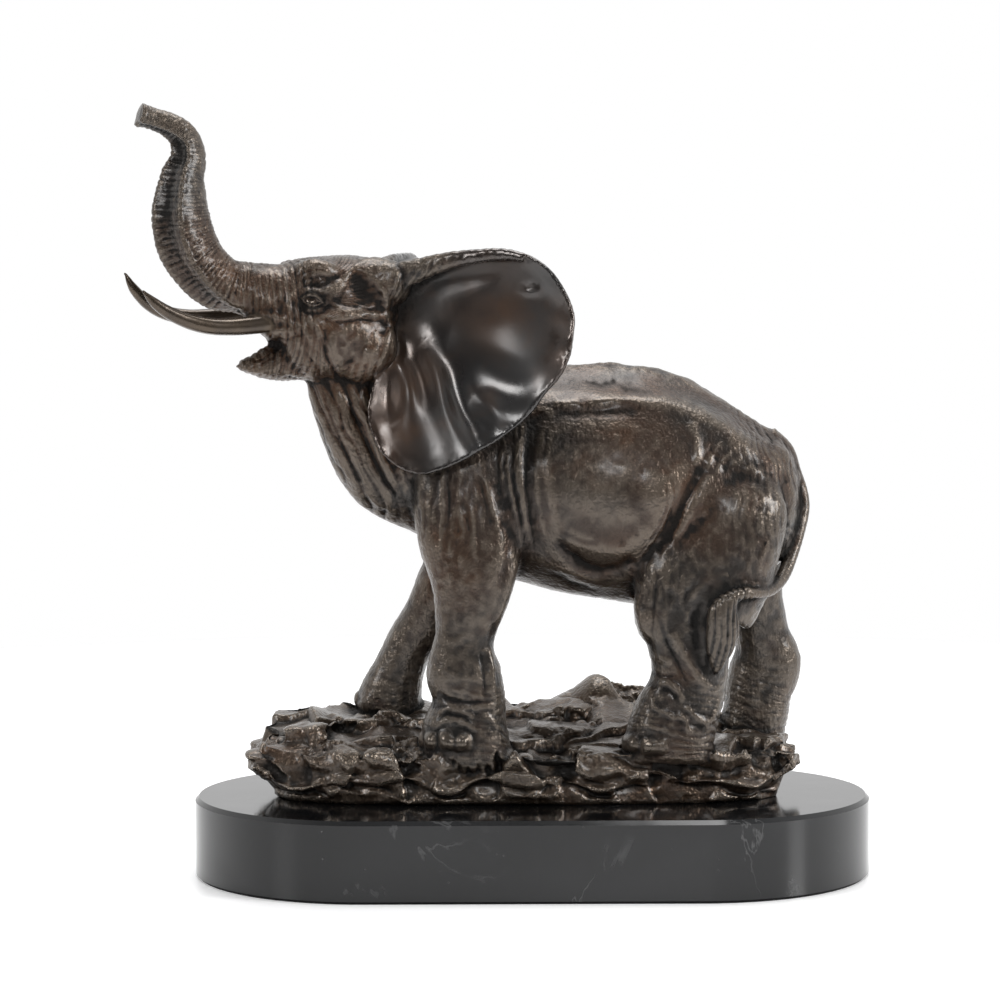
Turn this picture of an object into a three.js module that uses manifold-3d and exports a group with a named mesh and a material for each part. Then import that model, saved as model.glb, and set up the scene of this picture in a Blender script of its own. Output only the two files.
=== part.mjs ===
// A bronze elephant trumpeting on a ledge of rock, cast in one piece with the rock,
// bedded on a polished black marble plinth that has a felt pad under it.
// Millimetres, +Z up. The elephant walks towards -X and its left side faces -Y.
// The origin is on the underside of the felt, at the middle of the plinth.
import * as THREE from 'three';
import { LoftGeometry } from 'three/addons/geometries/LoftGeometry.js';
import { mergeVertices } from 'three/addons/utils/BufferGeometryUtils.js';
import Module from 'manifold-3d';

// Plinth: a slab with straight long sides and half round ends.
const plinthLength = 264;
const plinthDepth = 138;
const plinthThickness = 30;
const plinthChamfer = 1.6;
const plinthEndSides = 13;

// Felt pad, a little smaller than the slab above it.
const feltThickness = 1;
const feltInset = 1.2;

// Film of wax or glue between two pieces that are bedded on each other.
const bedding = 0.1;

// The bronze. Its forms below are drawn for a casting of drawnHeight from the rock's
// underside to the trunk's tip, and are scaled to figureHeight as a whole.
const figureHeight = 266;
const drawnHeight = 266;

// Pose of the head: turned to its own left about the neck, by this angle. Where the trunk
// stands upright its flat underside is turned further round, to this angle.
const headTurn = THREE.MathUtils.degToRad(22);
const trunkTurn = THREE.MathUtils.degToRad(47);
const neckX = -45;

// Ears: thickness of the metal, and how far each one swings out from the head.
const earThickness = 2.6;
const leftEarSwing = THREE.MathUtils.degToRad(46);
const rightEarSwing = THREE.MathUtils.degToRad(50);

// Colours of the three materials.
const bronze = new THREE.MeshStandardMaterial({ color: 0x2b1f18, roughness: 0.34, metalness: 0.9 });
const marble = new THREE.MeshStandardMaterial({ color: 0x14171a, roughness: 0.12, metalness: 0 });
const felt = new THREE.MeshStandardMaterial({ color: 0x0c0c0d, roughness: 0.95, metalness: 0 });

const wasm = await Module();
wasm.setup();

// Joining and cutting.
function solidOf(geometry) {
  const bare = new THREE.BufferGeometry();
  bare.setAttribute('position', geometry.attributes.position);
  bare.setIndex(geometry.index);
  const merged = mergeVertices(bare, 1e-4);
  const corners = merged.index.array;
  const triangles = [];
  for (let i = 0; i < corners.length; i += 3) {
    const [a, b, c] = corners.slice(i, i + 3);
    if (a !== b && b !== c && c !== a) triangles.push(a, b, c);
  }
  return new wasm.Manifold(new wasm.Mesh({
    numProp: 3,
    vertProperties: merged.attributes.position.array,
    triVerts: new Uint32Array(triangles),
  }));
}

function geometryOf(solid) {
  const mesh = solid.getMesh();
  const geometry = new THREE.BufferGeometry();
  geometry.setAttribute('position', new THREE.BufferAttribute(mesh.vertProperties, 3));
  geometry.setIndex(new THREE.BufferAttribute(mesh.triVerts, 1));
  geometry.computeVertexNormals();
  return geometry;
}

function join(solids) {
  return solids.reduce((whole, piece) => whole.add(piece));
}

function curveThrough(points) {
  return new THREE.CatmullRomCurve3(points.map((p) => new THREE.Vector3(...p)));
}

// A closed cross-section, mirrored left to right. The half is drawn from its top, round
// its right side, to its bottom, as [across, over] in shares of the half sizes.
function mirroredSection(half) {
  const right = half.map(([across, over]) => new THREE.Vector3(across, over, 0));
  const left = right.slice(1, -1).map((p) => new THREE.Vector3(-p.x, p.y, 0));
  return new THREE.CatmullRomCurve3([right[0], ...left, ...right.slice(1).reverse()], true);
}

const roundSection = mirroredSection([[0, 1], [0.75, 0.75], [1, 0], [0.75, -0.75], [0, -1]]);
// A back with a ridge, sides that fall away under it, and a rounded belly.
const backSection = mirroredSection([[0, 1], [0.34, 0.87], [0.68, 0.68], [1, 0.02], [0.78, -0.66], [0, -1]]);
// Skull: broad brow, fuller below the eyes, narrow under the jaw.
const headSection = mirroredSection([[0, 1], [0.6, 0.86], [0.94, 0.36], [1, -0.2], [0.74, -0.78], [0, -1]]);
// Trunk: round outside, flat on its underside between two edges.
const trunkSection = mirroredSection([
  [0, 1], [0.76, 0.68], [1, 0.04], [0.95, -0.7], [0.74, -1], [0.3, -0.86], [0, -0.8],
]);
// Flattened oval for the jaw's lip and the tail's tuft.
const softSection = mirroredSection([[0, 1], [0.8, 0.62], [1, 0], [0.8, -0.62], [0, -1]]);

// A form swept through stations of [x, y, z, half width, half depth]. Each cross-section
// stands square to the path. Its width runs towards the side direction.
function limb(stations, { section = roundSection, sides = 14, rings = 12, side = [0, -1, 0] } = {}) {
  const path = curveThrough(stations.map(([x, y, z]) => [x, y, z]));
  const sizes = curveThrough(stations.map(([, , , width, depth]) => [width, depth, 0]));
  const outline = section.getSpacedPoints(sides).slice(0, sides);
  const towards = new THREE.Vector3(...side);
  const sections = [];
  for (let i = 0; i <= rings; i += 1) {
    const centre = path.getPoint(i / rings);
    const along = path.getTangent(i / rings);
    const size = sizes.getPoint(i / rings);
    const across = towards.clone().addScaledVector(along, -along.dot(towards)).normalize();
    const over = along.clone().cross(across);
    sections.push(outline.map((p) => centre.clone()
      .addScaledVector(across, p.x * size.x)
      .addScaledVector(over, p.y * size.y)));
  }
  return new LoftGeometry(sections, { capStart: true, capEnd: true });
}

// A form with upright cross-sections, through stations of [x, y, top, bottom, half width].
function barrel(stations, { section, sides, rings }) {
  const path = curveThrough(stations.map(([x, y, , , width]) => [x, y, width]));
  const edges = curveThrough(stations.map(([, , top, bottom]) => [top, bottom, 0]));
  const outline = section.getSpacedPoints(sides).slice(0, sides);
  const sections = [];
  for (let i = 0; i <= rings; i += 1) {
    const { x, y, z: width } = path.getPoint(i / rings);
    const { x: top, y: bottom } = edges.getPoint(i / rings);
    const middle = (top + bottom) / 2;
    const height = (top - bottom) / 2;
    sections.push(outline.map((p) => new THREE.Vector3(x, y - p.x * width, middle + p.y * height)));
  }
  return new LoftGeometry(sections, { capStart: true, capEnd: true });
}

// An egg-shaped swelling with its own three half sizes.
function swelling([x, y, z], [halfX, halfY, halfZ], detail = 1) {
  return new THREE.IcosahedronGeometry(1, detail).scale(halfX, halfY, halfZ).translate(x, y, z);
}

// Places on the head are given as forward, left and up, from the neck.
const headForward = new THREE.Vector3(-Math.cos(headTurn), -Math.sin(headTurn), 0);
const headLeft = new THREE.Vector3(Math.sin(headTurn), -Math.cos(headTurn), 0);
function onHead(forward, left, up) {
  return new THREE.Vector3(neckX, 0, 0)
    .addScaledVector(headForward, forward)
    .addScaledVector(headLeft, left)
    .setZ(up)
    .toArray();
}

function headStations(rows) {
  return rows.map(([forward, left, up, width, depth]) => [...onHead(forward, left, up), width, depth]);
}

// Trunk to tail: the torso with the neck and its deep throat.
function torso() {
  return barrel([
    [104, 0, 126, 107, 7],
    [101.5, 0, 134, 98, 16],
    [97, 0, 139.5, 90, 23],
    [89, 0, 144.5, 84, 28],
    [75, 0, 154, 79, 32],
    [60, 0, 162.5, 75, 34],
    [45, 0, 167, 73.5, 35],
    [28, 0, 168, 76, 35],
    [10, 0, 167, 79, 33],
    [-8, 0, 166, 84, 29],
    [-26, 0, 168, 92, 26],
    [-45, -2, 176, 102, 22],
    [-58, -6, 184, 108, 18],
    [-67, -9, 187, 114, 16],
    [-75, -12, 186, 125, 13],
    [-81, -14, 184, 140, 10],
    [-86, -15, 178, 157, 6],
  ], { section: backSection, sides: 20, rings: 20 });
}

// Muscle and bone that stand out of the barrel: shoulder blades and hips.
function bodySwellings(hand) {
  return [
    swelling([-22, 15 * hand, 116], [17, 13, 28], 1),
    swelling([70, 15 * hand, 122], [23, 15, 23], 1),
  ];
}

function skull() {
  const stations = [
    [2, 200, 186, 9],
    [8, 206, 170, 19],
    [18, 209, 164, 23],
    [29, 210.2, 161, 24],
    [40, 209.6, 161, 22],
    [49, 208.5, 165, 18.5],
    [56, 206.5, 174, 15],
    [64, 206.5, 181, 12],
    [70, 207, 186, 9],
  ];
  return barrel(stations.map(([forward, top, bottom, width]) => {
    const [x, y] = onHead(forward, 0, 0);
    return [x, y, top, bottom, width];
  }), { section: headSection, sides: 18, rings: 12 });
}

function trunk() {
  return limb(headStations([
    [52, 0, 193, 12, 13],
    [60, 0, 196, 11, 11],
    [67, 0, 197.5, 10, 9.8],
    [77, 0, 199.5, 9.6, 9.5],
    [85, 0, 206, 9.6, 9.7],
    [90, 0, 214, 9.8, 10.2],
    [92.5, 0, 224, 9.4, 9.8],
    [92.6, 0, 232, 8.4, 8.6],
    [92, 0, 239, 7.4, 7],
    [90.2, 0, 244.5, 6.4, 5.9],
    [90, 0, 249, 5.6, 5.5],
    [91.3, 0, 253.5, 5, 5],
    [94.5, 0, 257, 4.6, 4.6],
    [99, 0, 259.5, 4.2, 4.1],
    [104, 0, 261, 4, 3.8],
    [109.5, 0, 262.6, 4.6, 4.2],
  ]), { section: trunkSection, sides: 12, rings: 26, side: [Math.sin(trunkTurn), -Math.cos(trunkTurn), 0] });
}

// The tusks run forward from their sheaths and sweep up. The right one is the longer.
const leftTusk = [
  [46, 9.6, 187, 3.4, 4],
  [56, 9.8, 185, 3.4, 3.8],
  [65.2, 10, 183.9, 3.2, 3.5],
  [72, 10.4, 183.2, 3.2, 3.4],
  [80.2, 11.2, 182.8, 3.1, 3.2],
  [87, 12, 183.2, 3, 3.1],
  [94.3, 12.8, 184.8, 2.8, 2.9],
  [102.3, 14, 188, 2.4, 2.5],
  [108.5, 15, 191.9, 1.8, 1.9],
  [113.4, 15.8, 196.6, 0.4, 0.4],
];
const rightTusk = [
  [46, -10, 189, 3.4, 4],
  [56, -11.4, 188.4, 3.4, 3.6],
  [64, -12.6, 187.7, 3.2, 3.4],
  [72, -13.4, 186.9, 3.1, 3.3],
  [80, -14, 186.5, 3, 3.2],
  [88, -14.4, 186.6, 2.9, 3],
  [96.9, -14.4, 188.5, 2.6, 2.7],
  [103.3, -14.2, 192, 2.3, 2.4],
  [108.6, -13.7, 197.3, 1.8, 1.9],
  [112.4, -13.1, 203.6, 0.4, 0.4],
];

function tusk(stations) {
  return limb(headStations(stations), { sides: 8, rings: 12, side: headLeft.toArray() });
}

function tuskSheath(hand) {
  return limb(headStations([
    [38, 9.5 * hand, 193, 6, 6.5],
    [46, 10.4 * hand, 189, 6.8, 8.2],
    [54, 10.6 * hand, 186.4, 6, 6.6],
    [61, 10.6 * hand, 184.6, 4.4, 4.6],
  ]), { section: softSection, sides: 10, rings: 5, side: headLeft.toArray() });
}

// The lower jaw ends in a pointed lip, open at the front under the tusks.
function jaw() {
  return limb(headStations([
    [30, 0, 172.6, 15, 10.6],
    [44, 0, 171, 12, 8.6],
    [55, 0, 169.8, 9.5, 7.8],
    [63, 0, 168.8, 7, 5.8],
    [69, 0, 168, 4, 2.6],
    [72.6, 0, 167.6, 1.4, 0.9],
  ]), { section: softSection, sides: 12, rings: 8, side: headLeft.toArray() });
}

// What stands out on each side of the head: jowl, crown, brow and eyelids.
function headSwellings(hand) {
  const forms = [
    [[26, 12 * hand, 175], [13, 10, 14], 1],
    [[22, 13 * hand, 199], [15, 9, 10.4], 1],
    [[45, 11.4 * hand, 203], [9, 6.6, 5.4], 1],
    [[42.5, 16.4 * hand, 194.4], [4.8, 3.4, 3.8], 1],
  ];
  return forms.map(([place, size, detail]) => swelling(onHead(...place), size, detail));
}

// An ear is a thin sheet between the line where it grows from the head and its free rim.
// Places on it are [back, up] from the middle of that line, in the plane of the ear.
// The rim also gives how far it stands out from that plane.
const earRoot = [[-6, 12, -3], [-9, 3, -3], [-9, -6, -2]];
const earRim = [
  [-3.7, 17, -0.8], [6.2, 20.8, -1.9], [17.3, 23, -2.4], [38.4, 24, -3], [48.8, 22.2, -1.1],
  [58.2, 16.2, -0.9], [65.9, 3.7, -1], [67.2, -6.8, -0.5], [64.2, -20.2, 0.8], [56, -29.9, 1.2],
  [50.8, -36.7, 1.3], [39.1, -46.5, 3.2], [29, -52.4, 4.4], [16.3, -58.2, 6.8], [8.4, -59.8, 9.2],
  [-1.1, -56.2, 11.2], [-8.8, -48, 11.3], [-12.1, -36.3, 10.6], [-10.8, -25.6, 7.9], [-7.6, -11.9, 5.3],
];
// Folds that fan out from the root: place along the rim, half width, and height.
const earFolds = [
  [0.1, 0.08, 2],
  [0.3, 0.14, -2.6],
  [0.5, 0.07, 1.4],
  [0.64, 0.07, 3],
  [0.75, 0.05, -2],
  [0.86, 0.06, 2.2],
];

// A sheet with a front and a back, each a grid of points of the same rows and columns.
function sheet(front, back) {
  const rows = front.length;
  const columns = front[0].length;
  const points = [...front.flat(), ...back.flat()];
  const at = (side, i, j) => side * rows * columns + i * columns + j;
  const index = [];
  const quad = (a, b, c, d) => index.push(a, b, c, a, c, d);
  for (let i = 0; i < rows - 1; i += 1) {
    for (let j = 0; j < columns - 1; j += 1) {
      quad(at(0, i, j), at(0, i, j + 1), at(0, i + 1, j + 1), at(0, i + 1, j));
      quad(at(1, i, j), at(1, i + 1, j), at(1, i + 1, j + 1), at(1, i, j + 1));
    }
    quad(at(0, i, 0), at(0, i + 1, 0), at(1, i + 1, 0), at(1, i, 0));
    quad(at(0, i + 1, columns - 1), at(0, i, columns - 1), at(1, i, columns - 1), at(1, i + 1, columns - 1));
  }
  for (let j = 0; j < columns - 1; j += 1) {
    quad(at(0, 0, j + 1), at(0, 0, j), at(1, 0, j), at(1, 0, j + 1));
    quad(at(0, rows - 1, j), at(0, rows - 1, j + 1), at(1, rows - 1, j + 1), at(1, rows - 1, j));
  }
  const geometry = new THREE.BufferGeometry();
  geometry.setFromPoints(points);
  geometry.setIndex(index);
  return geometry;
}

function ear(hand, swing, rows, steps) {
  const rootCurve = curveThrough(earRoot);
  const rimCurve = curveThrough(earRim);
  const outwards = headForward.clone().multiplyScalar(-Math.cos(swing))
    .addScaledVector(headLeft, Math.sin(swing) * hand);
  const facing = headForward.clone().multiplyScalar(Math.sin(swing))
    .addScaledVector(headLeft, Math.cos(swing) * hand);
  const base = new THREE.Vector3(...onHead(10, 21 * hand, 187));
  const front = [];
  const back = [];
  for (let i = 0; i <= rows; i += 1) {
    const v = i / rows;
    const root = rootCurve.getPoint(v);
    const rim = rimCurve.getPointAt(v);
    const fold = earFolds.reduce((sum, [place, width, height]) =>
      sum + height * Math.exp(-(((v - place) / width) ** 2)), 0);
    const frontRow = [];
    const backRow = [];
    for (let j = 0; j <= steps; j += 1) {
      const u = j / steps;
      const at = root.clone().lerp(rim, u);
      const bowl = -5 * Math.sin(Math.PI * u) * Math.sin(Math.PI * Math.min(1, v * 1.25));
      const lift = at.z + bowl + fold * 1.4 * u ** 0.8 * (1 - 0.8 * u ** 3);
      const place = base.clone()
        .addScaledVector(outwards, at.x)
        .addScaledVector(facing, lift)
        .setZ(base.z + at.y);
      const half = (earThickness / 2) * (1.3 - 0.6 * u);
      frontRow.push(place.clone().addScaledVector(facing, half));
      backRow.push(place.clone().addScaledVector(facing, -half));
    }
    front.push(frontRow);
    back.push(backRow);
  }
  return hand > 0 ? sheet(back, front) : sheet(front, back);
}

const leftForeleg = [
  [-24, -13, 152, 8, 12],
  [-26, -18, 132, 11, 19],
  [-26, -20, 118, 11.5, 20],
  [-25, -22, 104, 11.5, 19.3],
  [-23, -23, 91, 11.3, 17.6],
  [-23.3, -23, 81, 11, 15.2],
  [-24.8, -23, 71, 10.3, 12.7],
  [-26, -23, 63.5, 9.8, 11.4],
  [-26.6, -23, 56.6, 10, 12.7],
  [-26.4, -23, 51, 10.6, 14.4],
  [-25.6, -23, 46.5, 10.6, 14.5],
  [-23.6, -23, 41.5, 10.4, 13.1],
  [-24, -23, 36.5, 11, 14],
  [-25.2, -23, 31, 12, 16],
  [-25.8, -23, 26, 12.6, 17],
  [-25.6, -23, 20, 12.8, 17.2],
  [-25.6, -23, 14, 12.2, 16.4],
];
const rightForeleg = [
  [-22, 12, 140, 8, 12],
  [-26, 18, 112, 11, 16],
  [-30, 21, 88, 11, 13],
  [-35.5, 22, 76.6, 10.6, 11.6],
  [-41, 23.5, 66.4, 10.2, 10.4],
  [-47, 25, 58, 9.8, 9.8],
  [-51, 26, 50, 10, 9.8],
  [-53.4, 26.5, 44, 10.4, 10.6],
  [-55.4, 27, 38, 11.4, 12.2],
  [-56.6, 27.5, 33, 12.2, 13],
  [-57, 27.5, 28, 12.4, 13],
  [-57, 27.5, 20, 12, 12.4],
];
const leftHindleg = [
  [80, -8, 134, 6, 8],
  [78.5, -14, 124, 11, 17],
  [77, -20, 112, 14.5, 21.5],
  [74.5, -22, 101, 14, 21.5],
  [70, -23, 91, 13.4, 23.5],
  [63.4, -24, 81, 12.6, 25],
  [59.4, -24.5, 71.5, 11.4, 20.8],
  [60, -25, 63.6, 10.8, 17],
  [60.3, -25, 56.8, 10.4, 15.4],
  [60.3, -25, 50, 10.4, 14.6],
  [58.9, -25, 42, 11, 14.9],
  [56, -25, 35, 12, 16.2],
  [53.8, -25, 29, 12.8, 16.8],
  [52.6, -25, 23, 13, 17.1],
  [52.2, -25, 16, 12.4, 16.4],
];
const rightHindleg = [
  [82, 8, 134, 6, 8],
  [84, 16, 108, 12, 17],
  [86, 19, 87, 12, 14.5],
  [87.5, 20, 77, 11.4, 12.6],
  [90.6, 22, 66.7, 10.6, 10.8],
  [92.2, 23, 58.5, 10.4, 11],
  [93.6, 23.5, 53.4, 10.6, 12.6],
  [94, 24, 48.3, 10.8, 14],
  [92.8, 24, 43, 11, 14],
  [91, 24, 37.5, 11.4, 13.2],
  [90.3, 24, 31, 12, 13],
  [89, 24, 24, 12.4, 13],
  [88.5, 24, 17, 12, 12.4],
];

// Broad nails set round the front of a foot, at these angles from straight ahead.
function toenails([x, y], height, halfWidth, halfLength, turns) {
  return turns.map((turn) => new THREE.SphereGeometry(1, 6, 4)
    .rotateX(Math.PI / 2)
    .scale(2.6, 4, 3.8)
    .rotateZ(turn)
    .translate(
      x - Math.cos(turn) * (halfLength - 1),
      y - Math.sin(turn) * (halfWidth - 0.8),
      height,
    ));
}

function tail() {
  return [
    limb([
      [91, 0, 137, 6, 7],
      [97.6, 0, 132.6, 5, 5.4],
      [101.6, -1, 125, 3.8, 3.8],
      [104.4, -2, 117.6, 3.2, 3.4],
      [105.2, -3.4, 112, 3, 3.2],
      [103.8, -6.4, 104.6, 2.8, 3],
      [100.4, -10.6, 93.8, 2.6, 2.8],
      [96.6, -17, 86, 2.5, 2.6],
      [91.6, -25, 81.8, 2.4, 2.3],
      [86, -32, 81, 2.3, 2.1],
      [80, -37, 82, 2.4, 2],
    ], { sides: 6, rings: 15 }),
    limb([
      [84, -35, 81, 2.2, 1.8],
      [77, -37, 80.6, 3, 2.6],
      [72.5, -37.6, 75, 3.4, 5.6],
      [72, -37, 66, 3.2, 6.2],
      [70.5, -35.6, 58, 2.6, 4.6],
      [69.5, -34.5, 51, 1, 1.2],
    ], { section: softSection, sides: 8, rings: 7 }),
  ];
}

// Rock: rings round a long outline. The lowest stands on the plinth, the next ones make a
// wavy ledge that overhangs it, and those inside follow the lie of the ground. Each ring of
// the wall has a height, a share of the outline's size, and how much its height wanders.
const rock = { x: -2, y: 1.5, halfLength: 98, halfDepth: 34 };
const rockPoints = 34;
const rockWall = [
  [0, 0, 0],
  [0, 1, 0],
  [3, 0.985, 0],
  [7, 1.02, 2.6],
  [9, 1.08, 3],
  [11.5, 1.05, 2.6],
  [16, 1.06, 1.2],
  [19.5, 1.03, 0],
];
const rockInside = [0.94, 0.8, 0.62, 0.4, 0];

function roughness(x, y) {
  return (Math.sin(x * 0.21 + y * 0.13) + Math.sin(x * 0.11 - y * 0.27 + 1.3) + Math.sin(x * 0.43 + 2.1)) / 3;
}

function bump(x, y, middleX, middleY, reachX, reachY) {
  return Math.exp(-(((x - middleX) / reachX) ** 2) - (((y - middleY) / reachY) ** 2));
}

function groundHeight(x, y) {
  const slope = 20.5 + (y + 22) * 0.19;
  return slope
    + 8.5 * bump(x, y, 29, 34, 11, 12)
    + 3.6 * bump(x, y, 46, 32, 9, 11)
    + 2.5 * bump(x, y, -85, 8, 12, 20)
    - 8 * bump(x, y, 96, 22, 22, 26)
    - 3 * bump(x, y, 4, -18, 12, 9)
    + 1.6 * roughness(x, y);
}

function rockRing(spread, height, wave) {
  const ring = [];
  for (let i = 0; i < rockPoints; i += 1) {
    const turn = (i / rockPoints) * 2 * Math.PI;
    const across = Math.sign(Math.cos(turn)) * Math.abs(Math.cos(turn)) ** 0.6;
    const deep = Math.sign(Math.sin(turn)) * Math.abs(Math.sin(turn)) ** 0.6;
    const ragged = 1 + (0.012 + height * 0.002) * roughness(across * 110 + height * 1.5, deep * 60 - height);
    const lean = across < 0 ? height * 0.2 * spread : 0;
    const x = rock.x + across * rock.halfLength * spread * ragged - lean;
    const wander = 0.7 * Math.sin(x * 0.115 + 2.2) + 0.5 * Math.sin(x * 0.21 + deep);
    ring.push(new THREE.Vector3(x, rock.y + deep * rock.halfDepth * spread * ragged, height + wave * wander));
  }
  return ring;
}

function ground() {
  const wall = rockWall.map(([height, spread, wave]) => rockRing(spread, height, wave));
  const inside = rockInside.map((spread) => rockRing(spread, 20, 0));
  inside.flat().forEach((p) => p.setZ(groundHeight(p.x, p.y)));
  return new LoftGeometry([...wall, ...inside]);
}

// Flat stones that lie in the ground: place, half sizes, height of their tops and tilt.
const stones = [
  { x: -66, y: 8, halfX: 15, halfY: 10, top: 29.5, tiltX: 0.03, tiltY: -0.02 },
  { x: -86, y: -2, halfX: 12, halfY: 15, top: 28, tiltX: -0.06, tiltY: 0.1 },
  { x: -62, y: -18, halfX: 16, halfY: 9, top: 22, tiltX: 0.04, tiltY: 0 },
  { x: -1, y: -20, halfX: 14, halfY: 10, top: 19.5, tiltX: 0.12, tiltY: 0 },
  { x: 8, y: 2, halfX: 17, halfY: 10, top: 26, tiltX: 0.16, tiltY: 0.08 },
  { x: 6, y: 20, halfX: 15, halfY: 9, top: 31.5, tiltX: 0.2, tiltY: 0.06 },
  { x: 24, y: -22, halfX: 13, halfY: 8, top: 21, tiltX: 0.06, tiltY: -0.04 },
  { x: 84, y: -14, halfX: 13, halfY: 10, top: 20.5, tiltX: 0.05, tiltY: 0.1 },
];

function stone({ x, y, halfX, halfY, top, tiltX, tiltY }) {
  const sides = 8;
  const rings = [[1.12, -7], [1.04, -1.2], [0.9, 0]];
  const sections = rings.map(([spread, down]) => {
    const ring = [];
    for (let i = 0; i < sides; i += 1) {
      const turn = ((i + 0.3 * Math.sin(i * 2.1 + x)) / sides) * 2 * Math.PI;
      const ragged = 1 + 0.14 * Math.sin(i * 1.9 + y);
      const px = Math.cos(turn) * halfX * spread * ragged;
      const py = Math.sin(turn) * halfY * spread * ragged;
      ring.push(new THREE.Vector3(x + px, y + py, top + down + px * tiltY + py * tiltX));
    }
    return ring;
  });
  return new LoftGeometry(sections, { capStart: true, capEnd: true });
}

function bronzeElephant() {
  const forms = [
    torso(),
    skull(),
    trunk(),
    jaw(),
    tusk(leftTusk),
    tusk(rightTusk),
    tuskSheath(1),
    tuskSheath(-1),
    ...headSwellings(1),
    ...headSwellings(-1),
    ear(1, leftEarSwing, 21, 6),
    ear(-1, rightEarSwing, 18, 5),
    ...bodySwellings(1),
    ...bodySwellings(-1),
    limb(leftForeleg, { sides: 12, rings: 18 }),
    limb(rightForeleg, { sides: 10, rings: 12 }),
    limb(leftHindleg, { sides: 12, rings: 17 }),
    limb(rightHindleg, { sides: 10, rings: 12 }),
    ...toenails([-25.6, -23], 24, 12.6, 17, [-0.5, 0.1, 0.7, 1.35]),
    ...toenails([-56.6, 27.5], 33, 12.2, 13, [-0.8, 0, 0.8]),
    ...toenails([52.4, -25], 23, 12.8, 16.8, [-0.5, 0.1, 0.7, 1.3]),
    ...toenails([89.5, 24], 24, 12.2, 13, [-0.8, 0, 0.8]),
    ...tail(),
    ground(),
    ...stones.map(stone),
  ];
  const whole = join(forms.map(solidOf));
  const scale = figureHeight / drawnHeight;
  return geometryOf(whole).scale(scale, scale, scale);
}

// The plinth's outline as a shape, drawn in from the edge by an inset.
function stadium(inset) {
  const radius = plinthDepth / 2 - inset;
  const straight = (plinthLength - plinthDepth) / 2;
  const shape = new THREE.Shape();
  shape.absarc(straight, 0, radius, -Math.PI / 2, Math.PI / 2, false);
  shape.absarc(-straight, 0, radius, Math.PI / 2, (Math.PI * 3) / 2, false);
  return shape;
}

function stadiumRing(inset, height) {
  return stadium(inset).getPoints(plinthEndSides).map((p) => new THREE.Vector3(p.x, p.y, height));
}

function marblePlinth() {
  const sections = [
    stadiumRing(0, 0),
    stadiumRing(0, plinthThickness - plinthChamfer),
    stadiumRing(plinthChamfer, plinthThickness),
  ];
  return new LoftGeometry(sections, { capStart: true, capEnd: true });
}

function feltPad() {
  return new LoftGeometry([stadiumRing(feltInset, 0), stadiumRing(feltInset, feltThickness)], {
    capStart: true,
    capEnd: true,
  });
}

function named(name, geometry, material, height) {
  const mesh = new THREE.Mesh(geometry, material);
  mesh.name = name;
  mesh.position.z = height;
  return mesh;
}

const sculpture = new THREE.Group();
sculpture.add(
  named('felt_pad', feltPad(), felt, 0),
  named('marble_plinth', marblePlinth(), marble, feltThickness + bedding),
  named('bronze_elephant', bronzeElephant(), bronze, feltThickness + plinthThickness + 2 * bedding),
);

export default sculpture;
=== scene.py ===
"""Bronze elephant on rocky ground, bedded on a polished black marble plinth with a felt pad.

The casting is modelled as lofted forms that are joined by a fine voxel remesh, sculpted by
strokes and folds in millimetres, and thinned to a mesh of moderate size.
"""

import math

import bpy
import numpy as np
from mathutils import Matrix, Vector, kdtree


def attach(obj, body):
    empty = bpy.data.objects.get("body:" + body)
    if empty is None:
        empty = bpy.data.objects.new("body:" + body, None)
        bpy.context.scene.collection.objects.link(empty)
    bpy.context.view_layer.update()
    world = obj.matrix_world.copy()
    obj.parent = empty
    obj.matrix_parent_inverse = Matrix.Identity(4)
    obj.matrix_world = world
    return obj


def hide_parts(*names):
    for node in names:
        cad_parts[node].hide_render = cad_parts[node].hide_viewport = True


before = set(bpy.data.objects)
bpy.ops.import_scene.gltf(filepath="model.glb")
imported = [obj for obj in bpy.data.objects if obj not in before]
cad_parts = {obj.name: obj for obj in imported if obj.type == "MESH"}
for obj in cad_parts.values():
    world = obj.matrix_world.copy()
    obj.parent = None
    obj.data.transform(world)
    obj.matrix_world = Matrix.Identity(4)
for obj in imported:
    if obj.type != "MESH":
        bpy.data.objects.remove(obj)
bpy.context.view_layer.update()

# Forms are drawn in millimetres above the rock's underside, which is ROCK_BASE above the table.
MM = 0.001
ROCK_BASE = 31.2

# Camera: a long lens a little over a metre away, slightly above the sculpture, in millimetres.

EYE_POINT = np.array([-12.2, -1169.2, 220.2])
LOOK_POINT = np.array([-12.2, 0, 146.0])
TILT = math.radians(-0.2)
LENS = 108
SENSOR = 36
PICTURE = 1000


def add_camera():
    data = bpy.data.cameras.new("camera")
    data.lens = LENS
    data.sensor_width = SENSOR
    camera = bpy.data.objects.new("camera", data)
    bpy.context.collection.objects.link(camera)
    camera.location = EYE_POINT * MM
    look = Vector(LOOK_POINT * MM) - camera.location
    turn = look.to_track_quat("-Z", "Y").to_matrix().to_4x4()
    camera.rotation_euler = turn.to_euler()
    camera.rotation_euler.rotate_axis("Z", TILT)
    bpy.context.scene.camera = camera


add_camera()


# Curves through points, as the part's own source draws them.


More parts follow.
